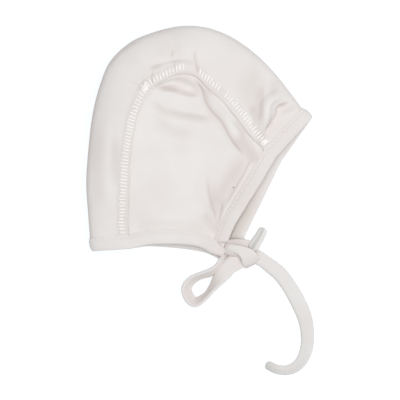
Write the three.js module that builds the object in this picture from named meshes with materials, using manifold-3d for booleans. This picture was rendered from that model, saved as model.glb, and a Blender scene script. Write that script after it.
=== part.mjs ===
// A baby's tied nightcap of soft jersey, lying on its side: X towards the face, Y towards the crown, Z up.
// The origin is on the surface under the middle of the cap, measured without its ties.
import * as THREE from "three";
import Module from "manifold-3d";

const manifold = await Module();
manifold.setup();
const { Manifold, Mesh } = manifold;

// Driving sizes, in millimetres: cloth, clearance between pieces, folded bindings and ties
const CLOTH = 1.0;
const GAP = 0.3;
const LIP = 0.9;
const BINDING_WIDTH = 9;
const SLOT_DEPTH = 7;
const TUCK = 5;
const CORNER_TUCK = 1;
const SLOT_HALF = CLOTH / 2 + GAP;
const BINDING_HALF = SLOT_HALF + LIP;
const TIE_WIDTH = 10;
const TIE_THICK = 3;
const TIE_CLEAR = 0.05;

// How the crown rolls over its fold: the fold's share of the height and how full the two halves are
const FOLD_SHARE = 0.48;
const UPPER_ROUNDNESS = 2.1;
const LOWER_ROUNDNESS = 3.4;

// Shares of a length over which the cloth lifts into a binding, a fold dies out, or a binding starts
const CROWN_END_SHARE = 0.05;
const PANEL_EDGE_SHARE = 0.1;
const FOLD_TAPER = 0.7;
const FACE_BINDING_START = 0.03;

// Middle of the cap in the plan that the tables below are measured in
const PLAN_MIDDLE = { x: 0.3, y: -1.1 };

// Grid steps: along the crown, across the crown, and both ways on the two side panels
const CROWN_LONG = 48;
const CROWN_ACROSS = 14;
const UPPER_STEPS = 22;
const LOWER_STEPS = 12;

// Sections of the crown strip from forehead to nape: the folded edge, the seam and the seam's height
const CROWN_SECTIONS = [
  { foldX: 68.0, foldY: 21.4, seamX: 43.0, seamY: -6.0, top: 14.5 },
  { foldX: 61.4, foldY: 30.2, seamX: 34.5, seamY: 2.5, top: 18.0 },
  { foldX: 50.2, foldY: 44.3, seamX: 25.0, seamY: 14.7, top: 21.5 },
  { foldX: 36.5, foldY: 57.8, seamX: 15.0, seamY: 26.2, top: 24.5 },
  { foldX: 20.6, foldY: 68.6, seamX: 5.7, seamY: 34.8, top: 26.5 },
  { foldX: 4.3, foldY: 75.0, seamX: -1.8, seamY: 42.0, top: 28.0 },
  { foldX: -12.1, foldY: 75.7, seamX: -11.4, seamY: 43.7, top: 29.0 },
  { foldX: -28.5, foldY: 72.5, seamX: -21.3, seamY: 40.1, top: 30.0 },
  { foldX: -44.8, foldY: 66.1, seamX: -28.6, seamY: 35.8, top: 30.5 },
  { foldX: -58.2, foldY: 53.4, seamX: -33.2, seamY: 30.2, top: 30.5 },
  { foldX: -65.0, foldY: 37.7, seamX: -37.2, seamY: 22.6, top: 30.0 },
  { foldX: -70.0, foldY: 18.5, seamX: -41.4, seamY: 9.4, top: 29.0 },
  { foldX: -72.8, foldY: -3.8, seamX: -44.4, seamY: -9.1, top: 27.0 },
  { foldX: -74.0, foldY: -26.9, seamX: -45.5, seamY: -29.6, top: 24.0 },
  { foldX: -72.3, foldY: -46.7, seamX: -45.9, seamY: -47.4, top: 20.5 },
  { foldX: -71.4, foldY: -63.6, seamX: -46.2, seamY: -61.9, top: 17.0 },
];
const CORNER_SECTION = 8.5;
const FAR_FRONT_SHIFT = { x: 4.0, y: -2.5 };
const FAR_SHIFT_FADE = 4;

// Inner lines of the two bindings, where the cloth enters them
const NEAR_FACE_LINE = [
  { x: 10.4, y: -64.4, z: 9.2 },
  { x: 15.6, y: -52.0, z: 11.0 },
  { x: 24.4, y: -37.0, z: 12.8 },
  { x: 34.0, y: -21.5, z: 14.0 },
  { x: 43.0, y: -6.0, z: 14.5 },
];
const FAR_FACE_LINE = [
  { x: 17.6, y: -69.4, z: BINDING_HALF },
  { x: 24.2, y: -54.5, z: BINDING_HALF },
  { x: 32.0, y: -38.5, z: BINDING_HALF },
  { x: 39.6, y: -23.0, z: BINDING_HALF },
  { x: 47.0, y: -8.5, z: BINDING_HALF },
];
const NEAR_NECK_LINE = [
  { x: -46.2, y: -61.9, z: 17.0 },
  { x: -34.0, y: -59.0, z: 17.0 },
  { x: -18.7, y: -58.4, z: 16.0 },
  { x: -4.2, y: -59.3, z: 13.2 },
  { x: 4.4, y: -61.4, z: 11.0 },
  { x: 10.4, y: -64.4, z: 9.2 },
];
const FAR_NECK_LINE = [
  { x: -46.2, y: -61.9, z: BINDING_HALF },
  { x: -34.0, y: -60.2, z: BINDING_HALF },
  { x: -18.7, y: -61.0, z: BINDING_HALF },
  { x: -4.2, y: -62.6, z: BINDING_HALF },
  { x: 7.6, y: -65.0, z: BINDING_HALF },
  { x: 17.6, y: -69.4, z: BINDING_HALF },
];
const NEAR_LEAD = [
  { x: 13.0, y: -67.4, z: 8.4 },
  { x: 15.8, y: -70.2, z: 7.8 },
  { x: 18.4, y: -72.1, z: 7.6 },
];
const FAR_LEAD = [
  { x: 21.6, y: -71.8, z: BINDING_HALF },
  { x: 25.4, y: -74.0, z: BINDING_HALF },
];
const LEAD_END_WIDTH = 0.6;

// Main folds of the upper cloth: a bowed ridge or dent with its own width on each side of the line
const UPPER_FOLDS = [
  { fold: "recess under the top seam", x0: -29, y0: 35, x1: 0, y1: 38, bow: 2, rise: -5, left: 7, right: 6 },
  { fold: "bulge below the recess", x0: -32, y0: 31, x1: 6, y1: 25, bow: -4, rise: 2.4, left: 6, right: 5 },
  { fold: "hollow below the bulge", x0: -26, y0: 24, x1: 14, y1: 14, bow: -3, rise: -2, left: 5, right: 9 },
  { fold: "ridge by the front seam", x0: 1, y0: 38, x1: 30, y1: -7, bow: 2.5, rise: 3.2, left: 9, right: 3 },
  { fold: "dent by the front ridge", x0: 6, y0: 22, x1: 27, y1: -10, bow: 1, rise: -1.6, left: 3, right: 8 },
  { fold: "gather above the knot", x0: 5, y0: -24, x1: 12, y1: -56, bow: 0, rise: -1.8, left: 5, right: 3.5 },
  { fold: "dent by the face edge", x0: 36, y0: -14, x1: 14, y1: -56, bow: 0, rise: -2, left: 3.5, right: 6 },
];
const CROWN_FOLDS = [
  { fold: "pucker at the forehead", x0: 45, y0: 28, x1: 40, y1: 4, bow: 1, rise: 2.2, left: 6, right: 6 },
  { fold: "crease by the pucker", x0: 56, y0: 24, x1: 43, y1: 6, bow: 1, rise: -1.6, left: 3.5, right: 3.5 },
  { fold: "tuck left of the crown", x0: -17, y0: 46, x1: -16, y1: 62, bow: 0, rise: -1.4, left: 4, right: 4 },
  { fold: "tuck right of the crown", x0: -3, y0: 45, x1: 1, y1: 62, bow: 0, rise: -1.4, left: 4, right: 4 },
];
const UPPER_SAG = 2.2;

// The ties: middle line, height above lying on the surface, and the band's lean from lying flat in degrees
const TAIL_LINE = [
  { x: 43.3, y: -77.9, lift: 5.2, lean: 0 },
  { x: 48.2, y: -82.0, lift: 3.2, lean: 0 },
  { x: 53.8, y: -87.6, lift: 1.0, lean: 0 },
  { x: 59.7, y: -95.4, lift: 0.1, lean: 3 },
  { x: 65.3, y: -105.8, lift: 0, lean: 8 },
  { x: 69.8, y: -116.6, lift: 0, lean: 14 },
  { x: 71.8, y: -127.5, lift: 0, lean: 22 },
  { x: 71.0, y: -138.0, lift: 0, lean: 34 },
  { x: 67.0, y: -146.5, lift: 0, lean: 44 },
  { x: 60.5, y: -150.4, lift: 0, lean: 52 },
  { x: 53.0, y: -150.4, lift: 0, lean: 56 },
  { x: 45.4, y: -146.4, lift: 0, lean: 56 },
];
const LOOP_LINE = [
  { x: 22.6, y: -78.6, lift: 3.4, lean: -62 },
  { x: 15.0, y: -82.6, lift: 2.0, lean: -66 },
  { x: 7.0, y: -86.2, lift: 0.8, lean: -64 },
  { x: -1.0, y: -88.6, lift: 0.2, lean: -58 },
  { x: -6.8, y: -92.8, lift: 0, lean: -54 },
  { x: -8.6, y: -98.8, lift: 0, lean: -52 },
  { x: -5.6, y: -104.6, lift: 0, lean: -56 },
  { x: 0.4, y: -105.2, lift: 0, lean: -62 },
  { x: 5.6, y: -100.2, lift: 0.1, lean: -66 },
  { x: 10.6, y: -94.0, lift: 0.4, lean: -56 },
  { x: 17.0, y: -88.4, lift: 1.4, lean: -40 },
  { x: 25.4, y: -82.4, lift: 3.2, lean: -24 },
];
const STUB_LINE = [
  { x: 35.7, y: -66.0, lift: 4.6, lean: 44 },
  { x: 38.2, y: -63.4, lift: 5.0, lean: 46 },
  { x: 41.0, y: -60.6, lift: 5.2, lean: 48 },
  { x: 43.2, y: -57.6, lift: 5.2, lean: 50 },
];
const STUB_WIDTH = 8;
const TAIL_STEPS = 30;
const LOOP_STEPS = 30;
const STUB_STEPS = 6;

// The knot: a soft core with one broad wrap across it and one band along its top
const KNOT_CORE = { x: 30.5, y: -74.2, z: 9.2, radiusX: 9.6, radiusY: 6.6, radiusZ: 4.8 };
const KNOT_WRAP = [
  { x: 19.8, y: -71.4, lift: 6.4, lean: 0 },
  { x: 25.0, y: -71.8, lift: 10.2, lean: 0 },
  { x: 31.0, y: -73.8, lift: 11.4, lean: 0 },
  { x: 35.8, y: -77.6, lift: 9.2, lean: 0 },
  { x: 36.6, y: -80.6, lift: 5.2, lean: 0 },
];
const KNOT_WRAP_WIDTH = 9.4;
const KNOT_BAND = [
  { x: 21.0, y: -67.8, lift: 6.0, lean: 20 },
  { x: 26.6, y: -66.8, lift: 7.6, lean: 20 },
  { x: 33.4, y: -68.0, lift: 7.4, lean: 20 },
];
const KNOT_BAND_WIDTH = 6;
const KNOT_STEPS = 10;
const KNOT_CORE_SIDES = [16, 10];

// Finishes of the cloth and of the folded tape, off-white and matt
const JERSEY = { color: 0xebe7e4, roughness: 0.95, metalness: 0 };
const BINDING_TAPE = { color: 0xe9e5e2, roughness: 0.9, metalness: 0 };

const UP = new THREE.Vector3(0, 0, 1);
const smooth = (t) => t * t * (3 - 2 * t);
const clamp = (t) => Math.min(1, Math.max(0, t));
const curveOf = (rows) => new THREE.CatmullRomCurve3(
  rows.map(({ x, y, z }) => new THREE.Vector3(x, y, z)), false, "catmullrom");

const foldCurve = curveOf(CROWN_SECTIONS.map((row) => (
  { x: row.foldX, y: row.foldY, z: BINDING_HALF + FOLD_SHARE * (row.top - BINDING_HALF) })));
const nearSeam = curveOf(CROWN_SECTIONS.map((row) => ({ x: row.seamX, y: row.seamY, z: row.top })));
const farSeam = curveOf(CROWN_SECTIONS.map((row, index) => {
  const front = (1 - index / (CROWN_SECTIONS.length - 1)) ** FAR_SHIFT_FADE;
  return { x: row.seamX + front * FAR_FRONT_SHIFT.x, y: row.seamY + front * FAR_FRONT_SHIFT.y, z: CLOTH / 2 };
}));
const cornerShare = CORNER_SECTION / (CROWN_SECTIONS.length - 1);

/** Height that a table of folds adds at a point of the plan. */
function foldHeight(folds, point) {
  let height = 0;
  for (const row of folds) {
    const length = Math.hypot(row.x1 - row.x0, row.y1 - row.y0);
    const alongX = (row.x1 - row.x0) / length;
    const alongY = (row.y1 - row.y0) / length;
    const share = ((point.x - row.x0) * alongX + (point.y - row.y0) * alongY) / length;
    if (share <= 0 || share >= 1) continue;
    const offset = (point.y - row.y0) * alongX - (point.x - row.x0) * alongY;
    const distance = offset - row.bow * 4 * share * (1 - share);
    const reach = Math.abs(distance) / (distance > 0 ? row.left : row.right);
    if (reach < 1) height += row.rise * Math.sin(Math.PI * share) ** FOLD_TAPER * (1 - reach * reach) ** 2;
  }
  return height;
}

/** Middle of the crown strip: s from forehead to nape, t from the upper seam over the fold to the lower. */
function crownPoint(s, t) {
  const fold = foldCurve.getPoint(s);
  const upper = t <= 0.5;
  const seam = (upper ? nearSeam : farSeam).getPoint(s);
  const power = 2 / (upper ? UPPER_ROUNDNESS : LOWER_ROUNDNESS);
  const turn = (upper ? 0.5 - t : t - 0.5) * Math.PI;
  const inward = 1 - Math.cos(turn) ** power;
  const level = Math.sin(turn) ** power;
  const atEnd = smooth(clamp(1 - Math.min(s, 1 - s) / CROWN_END_SHARE));
  const rise = upper
    ? foldHeight(CROWN_FOLDS, fold.clone().lerp(seam, inward)) * (1 - atEnd)
    : (BINDING_HALF - CLOTH / 2) * atEnd;
  return new THREE.Vector3(
    fold.x + (seam.x - fold.x) * inward,
    fold.y + (seam.y - fold.y) * inward,
    fold.z + (seam.z - fold.z + rise) * level,
  );
}

/** The four edges of a side panel, each a function from 0 to 1, taken from the seam and the binding lines. */
function panelEdges(seam, faceLine, neckLine) {
  const face = curveOf(faceLine);
  const neck = curveOf(neckLine);
  return {
    back: (v) => seam.getPoint(1 - v * (1 - cornerShare)),
    top: (u) => seam.getPoint(cornerShare * (1 - u)),
    front: (v) => face.getPoint(v),
    bottom: (u) => neck.getPoint(u),
  };
}

/** Point of the patch that spans four edges. */
function patchPoint(edges, u, v) {
  const sideways = edges.back(v).lerp(edges.front(v), u);
  const upwards = edges.bottom(u).lerp(edges.top(u), v);
  const low = edges.bottom(0).lerp(edges.bottom(1), u);
  const high = edges.top(0).lerp(edges.top(1), u);
  return sideways.add(upwards).sub(low.lerp(high, v));
}

const nearEdges = panelEdges(nearSeam, NEAR_FACE_LINE, NEAR_NECK_LINE);
const farEdges = panelEdges(farSeam, FAR_FACE_LINE, FAR_NECK_LINE);

/** Outward direction of an opening's edge, level with the surface, on the right hand of the edge's run. */
function outward(curvePoint, share) {
  const step = 0.01;
  const run = curvePoint(Math.min(1, share + step)).sub(curvePoint(Math.max(0, share - step)));
  return new THREE.Vector3(run.y, -run.x, 0).normalize();
}

/** Points of the upper side panel with its sag and folds. */
function upperPanelPoint(u, v) {
  const point = patchPoint(nearEdges, u, v);
  const rampUp = (share) => smooth(clamp(share / PANEL_EDGE_SHARE));
  const offBindings = rampUp(1 - u) * rampUp(v);
  const offSeam = rampUp(u) * rampUp(1 - v);
  point.z += (foldHeight(UPPER_FOLDS, point) - UPPER_SAG * offSeam) * offBindings;
  return point;
}

/** Points of the lower side panel, flat on the surface and lifted only into the bindings. */
function lowerPanelPoint(u, v) {
  const point = patchPoint(farEdges, u, v);
  const toEdge = Math.min(1 - u, v);
  const lift = smooth(clamp(1 - toEdge / PANEL_EDGE_SHARE));
  point.z = CLOTH / 2 + (BINDING_HALF - CLOTH / 2) * lift;
  return point;
}

const steps = (count, first = 0, last = 1) => (
  Array.from({ length: count + 1 }, (_, index) => first + (last - first) * index / count));

// Outward directions where the crown strip enters the two bindings
const crownFront = crownPoint(0, 0.5).sub(nearSeam.getPoint(0));
const crownFaceOut = new THREE.Vector3(crownFront.y, -crownFront.x, 0).normalize();
const crownNeckOut = new THREE.Vector3(0, -1, 0);
const nearFaceOut = (v) => outward(nearEdges.front, v);
const farFaceOut = (v) => outward(farEdges.front, v);
const nearNeckOut = (u) => outward(nearEdges.bottom, u);
const farNeckOut = (u) => outward(farEdges.bottom, u);

/** Outward way at the crown's end, turning evenly from the upper panel's to the fold's to the lower's. */
function crownEndOut(t, nearOut, foldOut, farOut) {
  const blended = t <= 0.5
    ? nearOut.clone().lerp(foldOut, smooth(t * 2))
    : foldOut.clone().lerp(farOut, smooth(t * 2 - 1));
  return blended.normalize();
}
const crownFaceDirection = (t) => crownEndOut(t, nearFaceOut(1), crownFaceOut, farFaceOut(1));
const crownNeckDirection = (t) => crownEndOut(t, nearNeckOut(0), crownNeckOut, farNeckOut(0));

/** Closed mesh from vertices and faces, turned outside out. */
function solid(points, faces) {
  let volume = 0;
  for (const [a, b, c] of faces) volume += points[a].dot(points[b].clone().cross(points[c]));
  const turned = volume < 0 ? faces.map(([a, b, c]) => [a, c, b]) : faces;
  const geometry = new THREE.BufferGeometry();
  geometry.setAttribute("position", new THREE.Float32BufferAttribute(points.flatMap((p) => p.toArray()), 3));
  geometry.setIndex(turned.flat());
  return geometry;
}

/** Cloth of one thickness over a grid of middle points; an upright cloth keeps its thickness along Z. */
function clothSolid(grid, thickness, upright) {
  const rows = grid.length;
  const columns = grid[0].length;
  const normalAt = (i, j) => {
    if (upright) return UP;
    const down = grid[Math.min(rows - 1, i + 1)][j].clone().sub(grid[Math.max(0, i - 1)][j]);
    const along = grid[i][Math.min(columns - 1, j + 1)].clone().sub(grid[i][Math.max(0, j - 1)]);
    return down.cross(along).normalize();
  };
  const points = [];
  for (const side of [1, -1]) {
    grid.forEach((row, i) => row.forEach((point, j) => {
      points.push(point.clone().addScaledVector(normalAt(i, j), side * thickness / 2));
    }));
  }
  const under = rows * columns;
  const at = (i, j) => i * columns + j;
  const faces = [];
  const quad = (a, b, c, d) => faces.push([a, b, c], [a, c, d]);
  for (let i = 0; i + 1 < rows; i += 1) {
    for (let j = 0; j + 1 < columns; j += 1) {
      quad(at(i, j), at(i + 1, j), at(i + 1, j + 1), at(i, j + 1));
      quad(under + at(i, j), under + at(i, j + 1), under + at(i + 1, j + 1), under + at(i + 1, j));
    }
    quad(at(i, 0), under + at(i, 0), under + at(i + 1, 0), at(i + 1, 0));
    const last = columns - 1;
    quad(at(i, last), at(i + 1, last), under + at(i + 1, last), under + at(i, last));
  }
  for (let j = 0; j + 1 < columns; j += 1) {
    quad(at(0, j), at(0, j + 1), under + at(0, j + 1), under + at(0, j));
    const last = rows - 1;
    quad(at(last, j), under + at(last, j), under + at(last, j + 1), at(last, j + 1));
  }
  return solid(points, faces);
}

/** Solid through a run of sections; each section lists its corners in the same order. */
function loftSolid(sections, outline) {
  const sides = outline.length;
  const faces = [];
  for (let i = 0; i + 1 < sections.length; i += 1) {
    for (let j = 0; j < sides; j += 1) {
      const next = (j + 1) % sides;
      const [a, b] = [i * sides + j, i * sides + next];
      const [c, d] = [(i + 1) * sides + next, (i + 1) * sides + j];
      faces.push([a, b, c], [a, c, d]);
    }
  }
  const lastRow = (sections.length - 1) * sides;
  for (const [a, b, c] of THREE.ShapeUtils.triangulateShape(outline, [])) {
    const corners = [outline[a], outline[b], outline[c]];
    const sameWay = THREE.ShapeUtils.area(corners) * THREE.ShapeUtils.area(outline) > 0;
    const [first, second] = sameWay ? [b, c] : [c, b];
    faces.push([a, second, first], [lastRow + a, lastRow + first, lastRow + second]);
  }
  return solid(sections.flat(), faces);
}

/** Folded tape: two lips and a rounded fold, with a slot for the cloth's raw edge. */
function tapeOutline() {
  const foldCentre = BINDING_WIDTH - BINDING_HALF;
  const foldArc = steps(4, Math.PI / 2, -Math.PI / 2).map((turn) => (
    [foldCentre + BINDING_HALF * Math.cos(turn), BINDING_HALF * Math.sin(turn)]));
  const corners = [
    [0, BINDING_HALF], ...foldArc, [0, -BINDING_HALF],
    [0, -SLOT_HALF], [SLOT_DEPTH, -SLOT_HALF], [SLOT_DEPTH, SLOT_HALF], [0, SLOT_HALF],
  ];
  return corners.map(([out, up]) => new THREE.Vector2(out, up));
}

/** Binding through stations that give a place on the inner line, the outward way and the tape's width. */
function bindingSolid(stations) {
  const outline = tapeOutline();
  const sections = stations.map(({ place, out, width = 1 }, index) => {
    const before = stations[Math.max(0, index - 1)].place;
    const after = stations[Math.min(stations.length - 1, index + 1)].place;
    const up = after.clone().sub(before).cross(out).normalize();
    return outline.map((corner) => (
      place.clone().addScaledVector(out, corner.x * width).addScaledVector(up, corner.y)));
  });
  return loftSolid(sections, outline);
}

/** Flat tie along a table of places, lifts and leans; a tie with no lift lies on the surface. */
function tieSections(rows, count, width, thick) {
  const outline = tieOutline(width, thick);
  const radians = rows.map((row) => THREE.MathUtils.degToRad(row.lean));
  const restingHeight = (lean) => Math.max(...outline.map((corner) => (
    Math.abs(corner.x * Math.sin(lean)) + Math.abs(corner.y * Math.cos(lean)))));
  const line = curveOf(rows.map((row, index) => (
    { x: row.x, y: row.y, z: row.lift + TIE_CLEAR + restingHeight(radians[index]) })));
  const leans = curveOf(radians.map((lean) => ({ x: lean, y: 0, z: 0 })));
  return steps(count).map((share) => {
    const along = line.getTangent(share);
    const across = UP.clone().cross(along).normalize();
    across.applyAxisAngle(along, leans.getPoint(share).x);
    const up = along.clone().cross(across);
    return outline.map((corner) => (
      line.getPoint(share).addScaledVector(across, corner.x).addScaledVector(up, corner.y)));
  });
}

/** Rounded flat section of a tie. */
function tieOutline(width, thick) {
  const [wide, high] = [width / 2, thick / 2];
  return [
    [wide, 0.4 * high], [wide - 0.5 * high, high], [-wide + 0.5 * high, high], [-wide, 0.4 * high],
    [-wide, -0.4 * high], [-wide + 0.5 * high, -high], [wide - 0.5 * high, -high], [wide, -0.4 * high],
  ].map(([x, y]) => new THREE.Vector2(x, y));
}

const tieSolid = (rows, count, width = TIE_WIDTH, thick = TIE_THICK) => (
  loftSolid(tieSections(rows, count, width, thick), tieOutline(width, thick)));

/** Manifold solid of a closed geometry. */
function toManifold(geometry) {
  const mesh = new Mesh({
    numProp: 3,
    vertProperties: Float32Array.from(geometry.getAttribute("position").array),
    triVerts: Uint32Array.from(geometry.getIndex().array),
  });
  mesh.merge();
  return new Manifold(mesh);
}

/** Geometry of a manifold solid. */
function fromManifold(body) {
  const mesh = body.getMesh();
  const geometry = new THREE.BufferGeometry();
  geometry.setAttribute("position", new THREE.Float32BufferAttribute(mesh.vertProperties, 3));
  geometry.setIndex(Array.from(mesh.triVerts));
  return geometry;
}

/** Moves the seam end of a row of points back, so that two sewn pieces keep their gap. */
function easeSeam(end, inner) {
  end.addScaledVector(inner.clone().sub(end).normalize(), GAP);
}

/** Crown strip, its two ends tucked into the bindings. */
function crownPanel() {
  const across = steps(CROWN_ACROSS);
  const tucked = (s, direction) => across.map((t) => crownPoint(s, t).addScaledVector(direction(t), TUCK));
  const grid = [
    tucked(0, crownFaceDirection),
    ...steps(CROWN_LONG).map((s) => across.map((t) => crownPoint(s, t))),
    tucked(1, crownNeckDirection),
  ];
  for (const row of grid) {
    easeSeam(row[0], row[1]);
    easeSeam(row[CROWN_ACROSS], row[CROWN_ACROSS - 1]);
  }
  return clothSolid(grid, CLOTH, false);
}

/** Side panel over a point function, tucked into the face binding and the neck binding. */
function sidePanel(pointAt, count, faceOut, neckOut) {
  const shares = steps(count);
  const neckTuck = (u) => TUCK + (CORNER_TUCK - TUCK) * smooth(clamp(1 - (1 - u) / PANEL_EDGE_SHARE));
  const faceTuck = (v) => (v < FACE_BINDING_START ? GAP : TUCK);
  const grid = shares.map((u) => [
    pointAt(u, 0).addScaledVector(neckOut(u), neckTuck(u)),
    ...shares.map((v) => pointAt(u, v)),
  ]);
  const faceColumn = shares.map((v) => pointAt(1, v).addScaledVector(faceOut(v), faceTuck(v)));
  grid.push([grid[count][0].clone().addScaledVector(faceOut(0), faceTuck(0)), ...faceColumn]);
  grid[0].forEach((point, index) => easeSeam(point, grid[1][index]));
  grid.forEach((row) => easeSeam(row[count + 1], row[count]));
  return clothSolid(grid, CLOTH, true);
}

/** Stations of a binding at the given shares of an edge. */
const stationsAt = (shares, edge, outAt) => (
  shares.map((share) => ({ place: edge(share), out: outAt(share) })));

/** Face binding from the upper chin corner over the forehead to the lower chin corner. */
function faceBinding() {
  const acrossCrown = steps(CROWN_ACROSS).slice(1, -1);
  return bindingSolid([
    ...stationsAt(steps(UPPER_STEPS, FACE_BINDING_START), nearEdges.front, nearFaceOut),
    ...stationsAt(acrossCrown, (t) => crownPoint(0, t), crownFaceDirection),
    ...stationsAt(steps(LOWER_STEPS, 1, FACE_BINDING_START), farEdges.front, farFaceOut),
  ]);
}

/** Stations of the tape that runs on from a chin corner to the knot, narrowing as it is drawn in. */
function leadStations(rows, edge) {
  const line = curveOf([edge(1 - PANEL_EDGE_SHARE), edge(1), ...rows]);
  const corner = 1 / (rows.length + 1);
  return steps(2 * rows.length, corner).slice(1).map((share) => ({
    place: line.getPoint(share),
    out: outward((at) => line.getPoint(at), share),
    width: 1 + (LEAD_END_WIDTH - 1) * smooth((share - corner) / (1 - corner)),
  }));
}

/** Neck binding from the upper tie's lead round the nape to the lower tie's lead. */
function neckBinding() {
  const acrossCrown = steps(CROWN_ACROSS).slice(1, -1);
  return bindingSolid([
    ...leadStations(NEAR_LEAD, nearEdges.bottom).reverse(),
    ...stationsAt(steps(UPPER_STEPS, 1, 0), nearEdges.bottom, nearNeckOut),
    ...stationsAt(acrossCrown, (t) => crownPoint(1, t), crownNeckDirection),
    ...stationsAt(steps(LOWER_STEPS), farEdges.bottom, farNeckOut),
    ...leadStations(FAR_LEAD, farEdges.bottom),
  ]);
}

/** Knot: the core, the broad wrap and the top band grown together. */
function knot() {
  const core = new THREE.SphereGeometry(1, ...KNOT_CORE_SIDES);
  core.scale(KNOT_CORE.radiusX, KNOT_CORE.radiusY, KNOT_CORE.radiusZ);
  core.translate(KNOT_CORE.x, KNOT_CORE.y, KNOT_CORE.z);
  const wrap = tieSolid(KNOT_WRAP, KNOT_STEPS, KNOT_WRAP_WIDTH);
  const band = tieSolid(KNOT_BAND, KNOT_STEPS, KNOT_BAND_WIDTH);
  return fromManifold(toManifold(core).add(toManifold(wrap)).add(toManifold(band)));
}

/** Group of named meshes that share one finish, each with a material of its own. */
function groupOf(pieces, finish) {
  const group = new THREE.Group();
  for (const [name, geometry] of Object.entries(pieces)) {
    const mesh = new THREE.Mesh(geometry, new THREE.MeshStandardMaterial(finish));
    mesh.name = name;
    group.add(mesh);
  }
  return group;
}

const panels = groupOf({
  crown_panel: crownPanel(),
  side_panel_upper: sidePanel(upperPanelPoint, UPPER_STEPS, nearFaceOut, nearNeckOut),
  side_panel_lower: sidePanel(lowerPanelPoint, LOWER_STEPS, farFaceOut, farNeckOut),
}, JERSEY);
const bindings = groupOf({
  face_binding: faceBinding(),
  neck_binding: neckBinding(),
}, BINDING_TAPE);
const ties = groupOf({
  tie_knot: knot(),
  tie_stub: tieSolid(STUB_LINE, STUB_STEPS, STUB_WIDTH),
  tie_loop: tieSolid(LOOP_LINE, LOOP_STEPS),
  tie_tail: tieSolid(TAIL_LINE, TAIL_STEPS),
}, BINDING_TAPE);

const cap = new THREE.Group();
cap.add(panels, bindings, ties);
cap.position.set(-PLAN_MIDDLE.x, -PLAN_MIDDLE.y, 0);

export default cap;
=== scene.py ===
"""Dressed model of a baby's tied nightcap of soft jersey, lying on its side on a white table.

Tables are in millimetres of the same plan that the solids were drawn in: X towards the face, Y towards
the crown, Z up from the table. Meshes are in metres, in the frame of the solids.
"""

from __future__ import annotations

import logging
import math
from dataclasses import dataclass, field, replace
from enum import Enum
from typing import Callable, NamedTuple, Sequence

import bpy
import numpy as np
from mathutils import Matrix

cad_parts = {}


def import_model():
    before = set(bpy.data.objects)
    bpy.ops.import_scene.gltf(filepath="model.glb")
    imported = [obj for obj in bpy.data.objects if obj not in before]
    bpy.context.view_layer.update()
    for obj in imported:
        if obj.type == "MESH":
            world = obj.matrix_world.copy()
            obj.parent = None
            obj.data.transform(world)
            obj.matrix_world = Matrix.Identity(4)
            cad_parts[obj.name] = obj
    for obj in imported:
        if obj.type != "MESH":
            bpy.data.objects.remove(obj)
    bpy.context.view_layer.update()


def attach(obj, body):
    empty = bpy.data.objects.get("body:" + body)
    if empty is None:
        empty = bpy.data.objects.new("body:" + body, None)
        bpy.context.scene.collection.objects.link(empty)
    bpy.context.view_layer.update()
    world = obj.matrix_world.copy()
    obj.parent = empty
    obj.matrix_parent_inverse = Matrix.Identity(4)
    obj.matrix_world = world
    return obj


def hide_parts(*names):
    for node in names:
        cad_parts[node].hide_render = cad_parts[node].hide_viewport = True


LOG = logging.getLogger("nightcap")
MM = 0.001
UP = np.array((0.0, 0.0, 1.0))
# Place of the frame's origin in the plan.
PLAN_MIDDLE = np.array((0.3, -1.1, 0.0))
# Points that a curve is measured with.
CURVE_SAMPLES = 2001
# Step along an edge for finding its direction, as a share of the edge.
EDGE_STEP = 0.01
# Reach to each side for evening the outward ways of a binding, in millimetres.
EVEN_REACH = 3.0
# Points closer together than this are welded, in metres.
WELD_DISTANCE = 2e-6
# Angle by which a wave texture of scale 1 turns in one metre.
WAVE_TEXTURE_RATE = 20.0
# Name under which the share of painted shade is stored on the cloth.
PAINTED_SHADE_NAME = "painted_crease_shade"
SHEEN_ROUGHNESS = 0.6
CLOTH_SPECULAR = 0.15

Array = np.ndarray
Colour = tuple[float, float, float]


class Side(Enum):
    """The two sides of the cap as it lies: the one on top and the one on the table."""

    UPPER = "upper"
    LOWER = "lower"


class Slot(Enum):
    """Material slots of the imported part."""

    JERSEY = "jersey"
    TAPE = "binding_tape"


class CrownSection(NamedTuple):
    """One section of the crown strip: its folded edge, its seam and the seam's height."""

    fold_x: float
    fold_y: float
    seam_x: float
    seam_y: float
    top: float


class TieRow(NamedTuple):
    """One place on a tie: its height above lying on the table, its lean in degrees and its width."""

    x: float
    y: float
    lift: float
    lean: float
    width: float


def smooth(share: Array) -> Array:
    """Eases from 0 to 1 and stays there outside."""
    clipped = np.clip(share, 0.0, 1.0)
    return clipped * clipped * (3.0 - 2.0 * clipped)


def unit(vectors: Array) -> Array:
    """Vectors of length 1 in the same directions."""
    return vectors / np.maximum(np.linalg.norm(vectors, axis=-1, keepdims=True), 1e-9)


def blend(first: Array, second: Array, share: Array) -> Array:
    """Goes from the first vectors to the second."""
    part = np.asarray(share)[..., None]
    return first * (1.0 - part) + second * part


def spline(rows: Sequence[Sequence[float]], share: Array) -> Array:
    """Smooth curve through rows of numbers.

    Args:
        rows: The points that the curve passes through, evenly spread over the shares.
        share: Places along the curve, from 0 to 1.

    Returns:
        The curve's points, with the rows' columns on the last axis.
    """
    points = np.asarray(rows, float)
    ends = (2.0 * points[:1] - points[1:2], points, 2.0 * points[-1:] - points[-2:-1])
    padded = np.vstack(ends)
    place = np.clip(np.asarray(share, float), 0.0, 1.0) * (len(points) - 1)
    index = np.minimum(place.astype(int), len(points) - 2)
    t = (place - index)[..., None]
    before, start, end, after = (padded[index + k] for k in range(4))
    lead_in = 0.5 * (end - before)
    lead_out = 0.5 * (after - start)
    return (
        (2 * t**3 - 3 * t**2 + 1) * start
        + (t**3 - 2 * t**2 + t) * lead_in
        + (3 * t**2 - 2 * t**3) * end
        + (t**3 - t**2) * lead_out
    )


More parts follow.
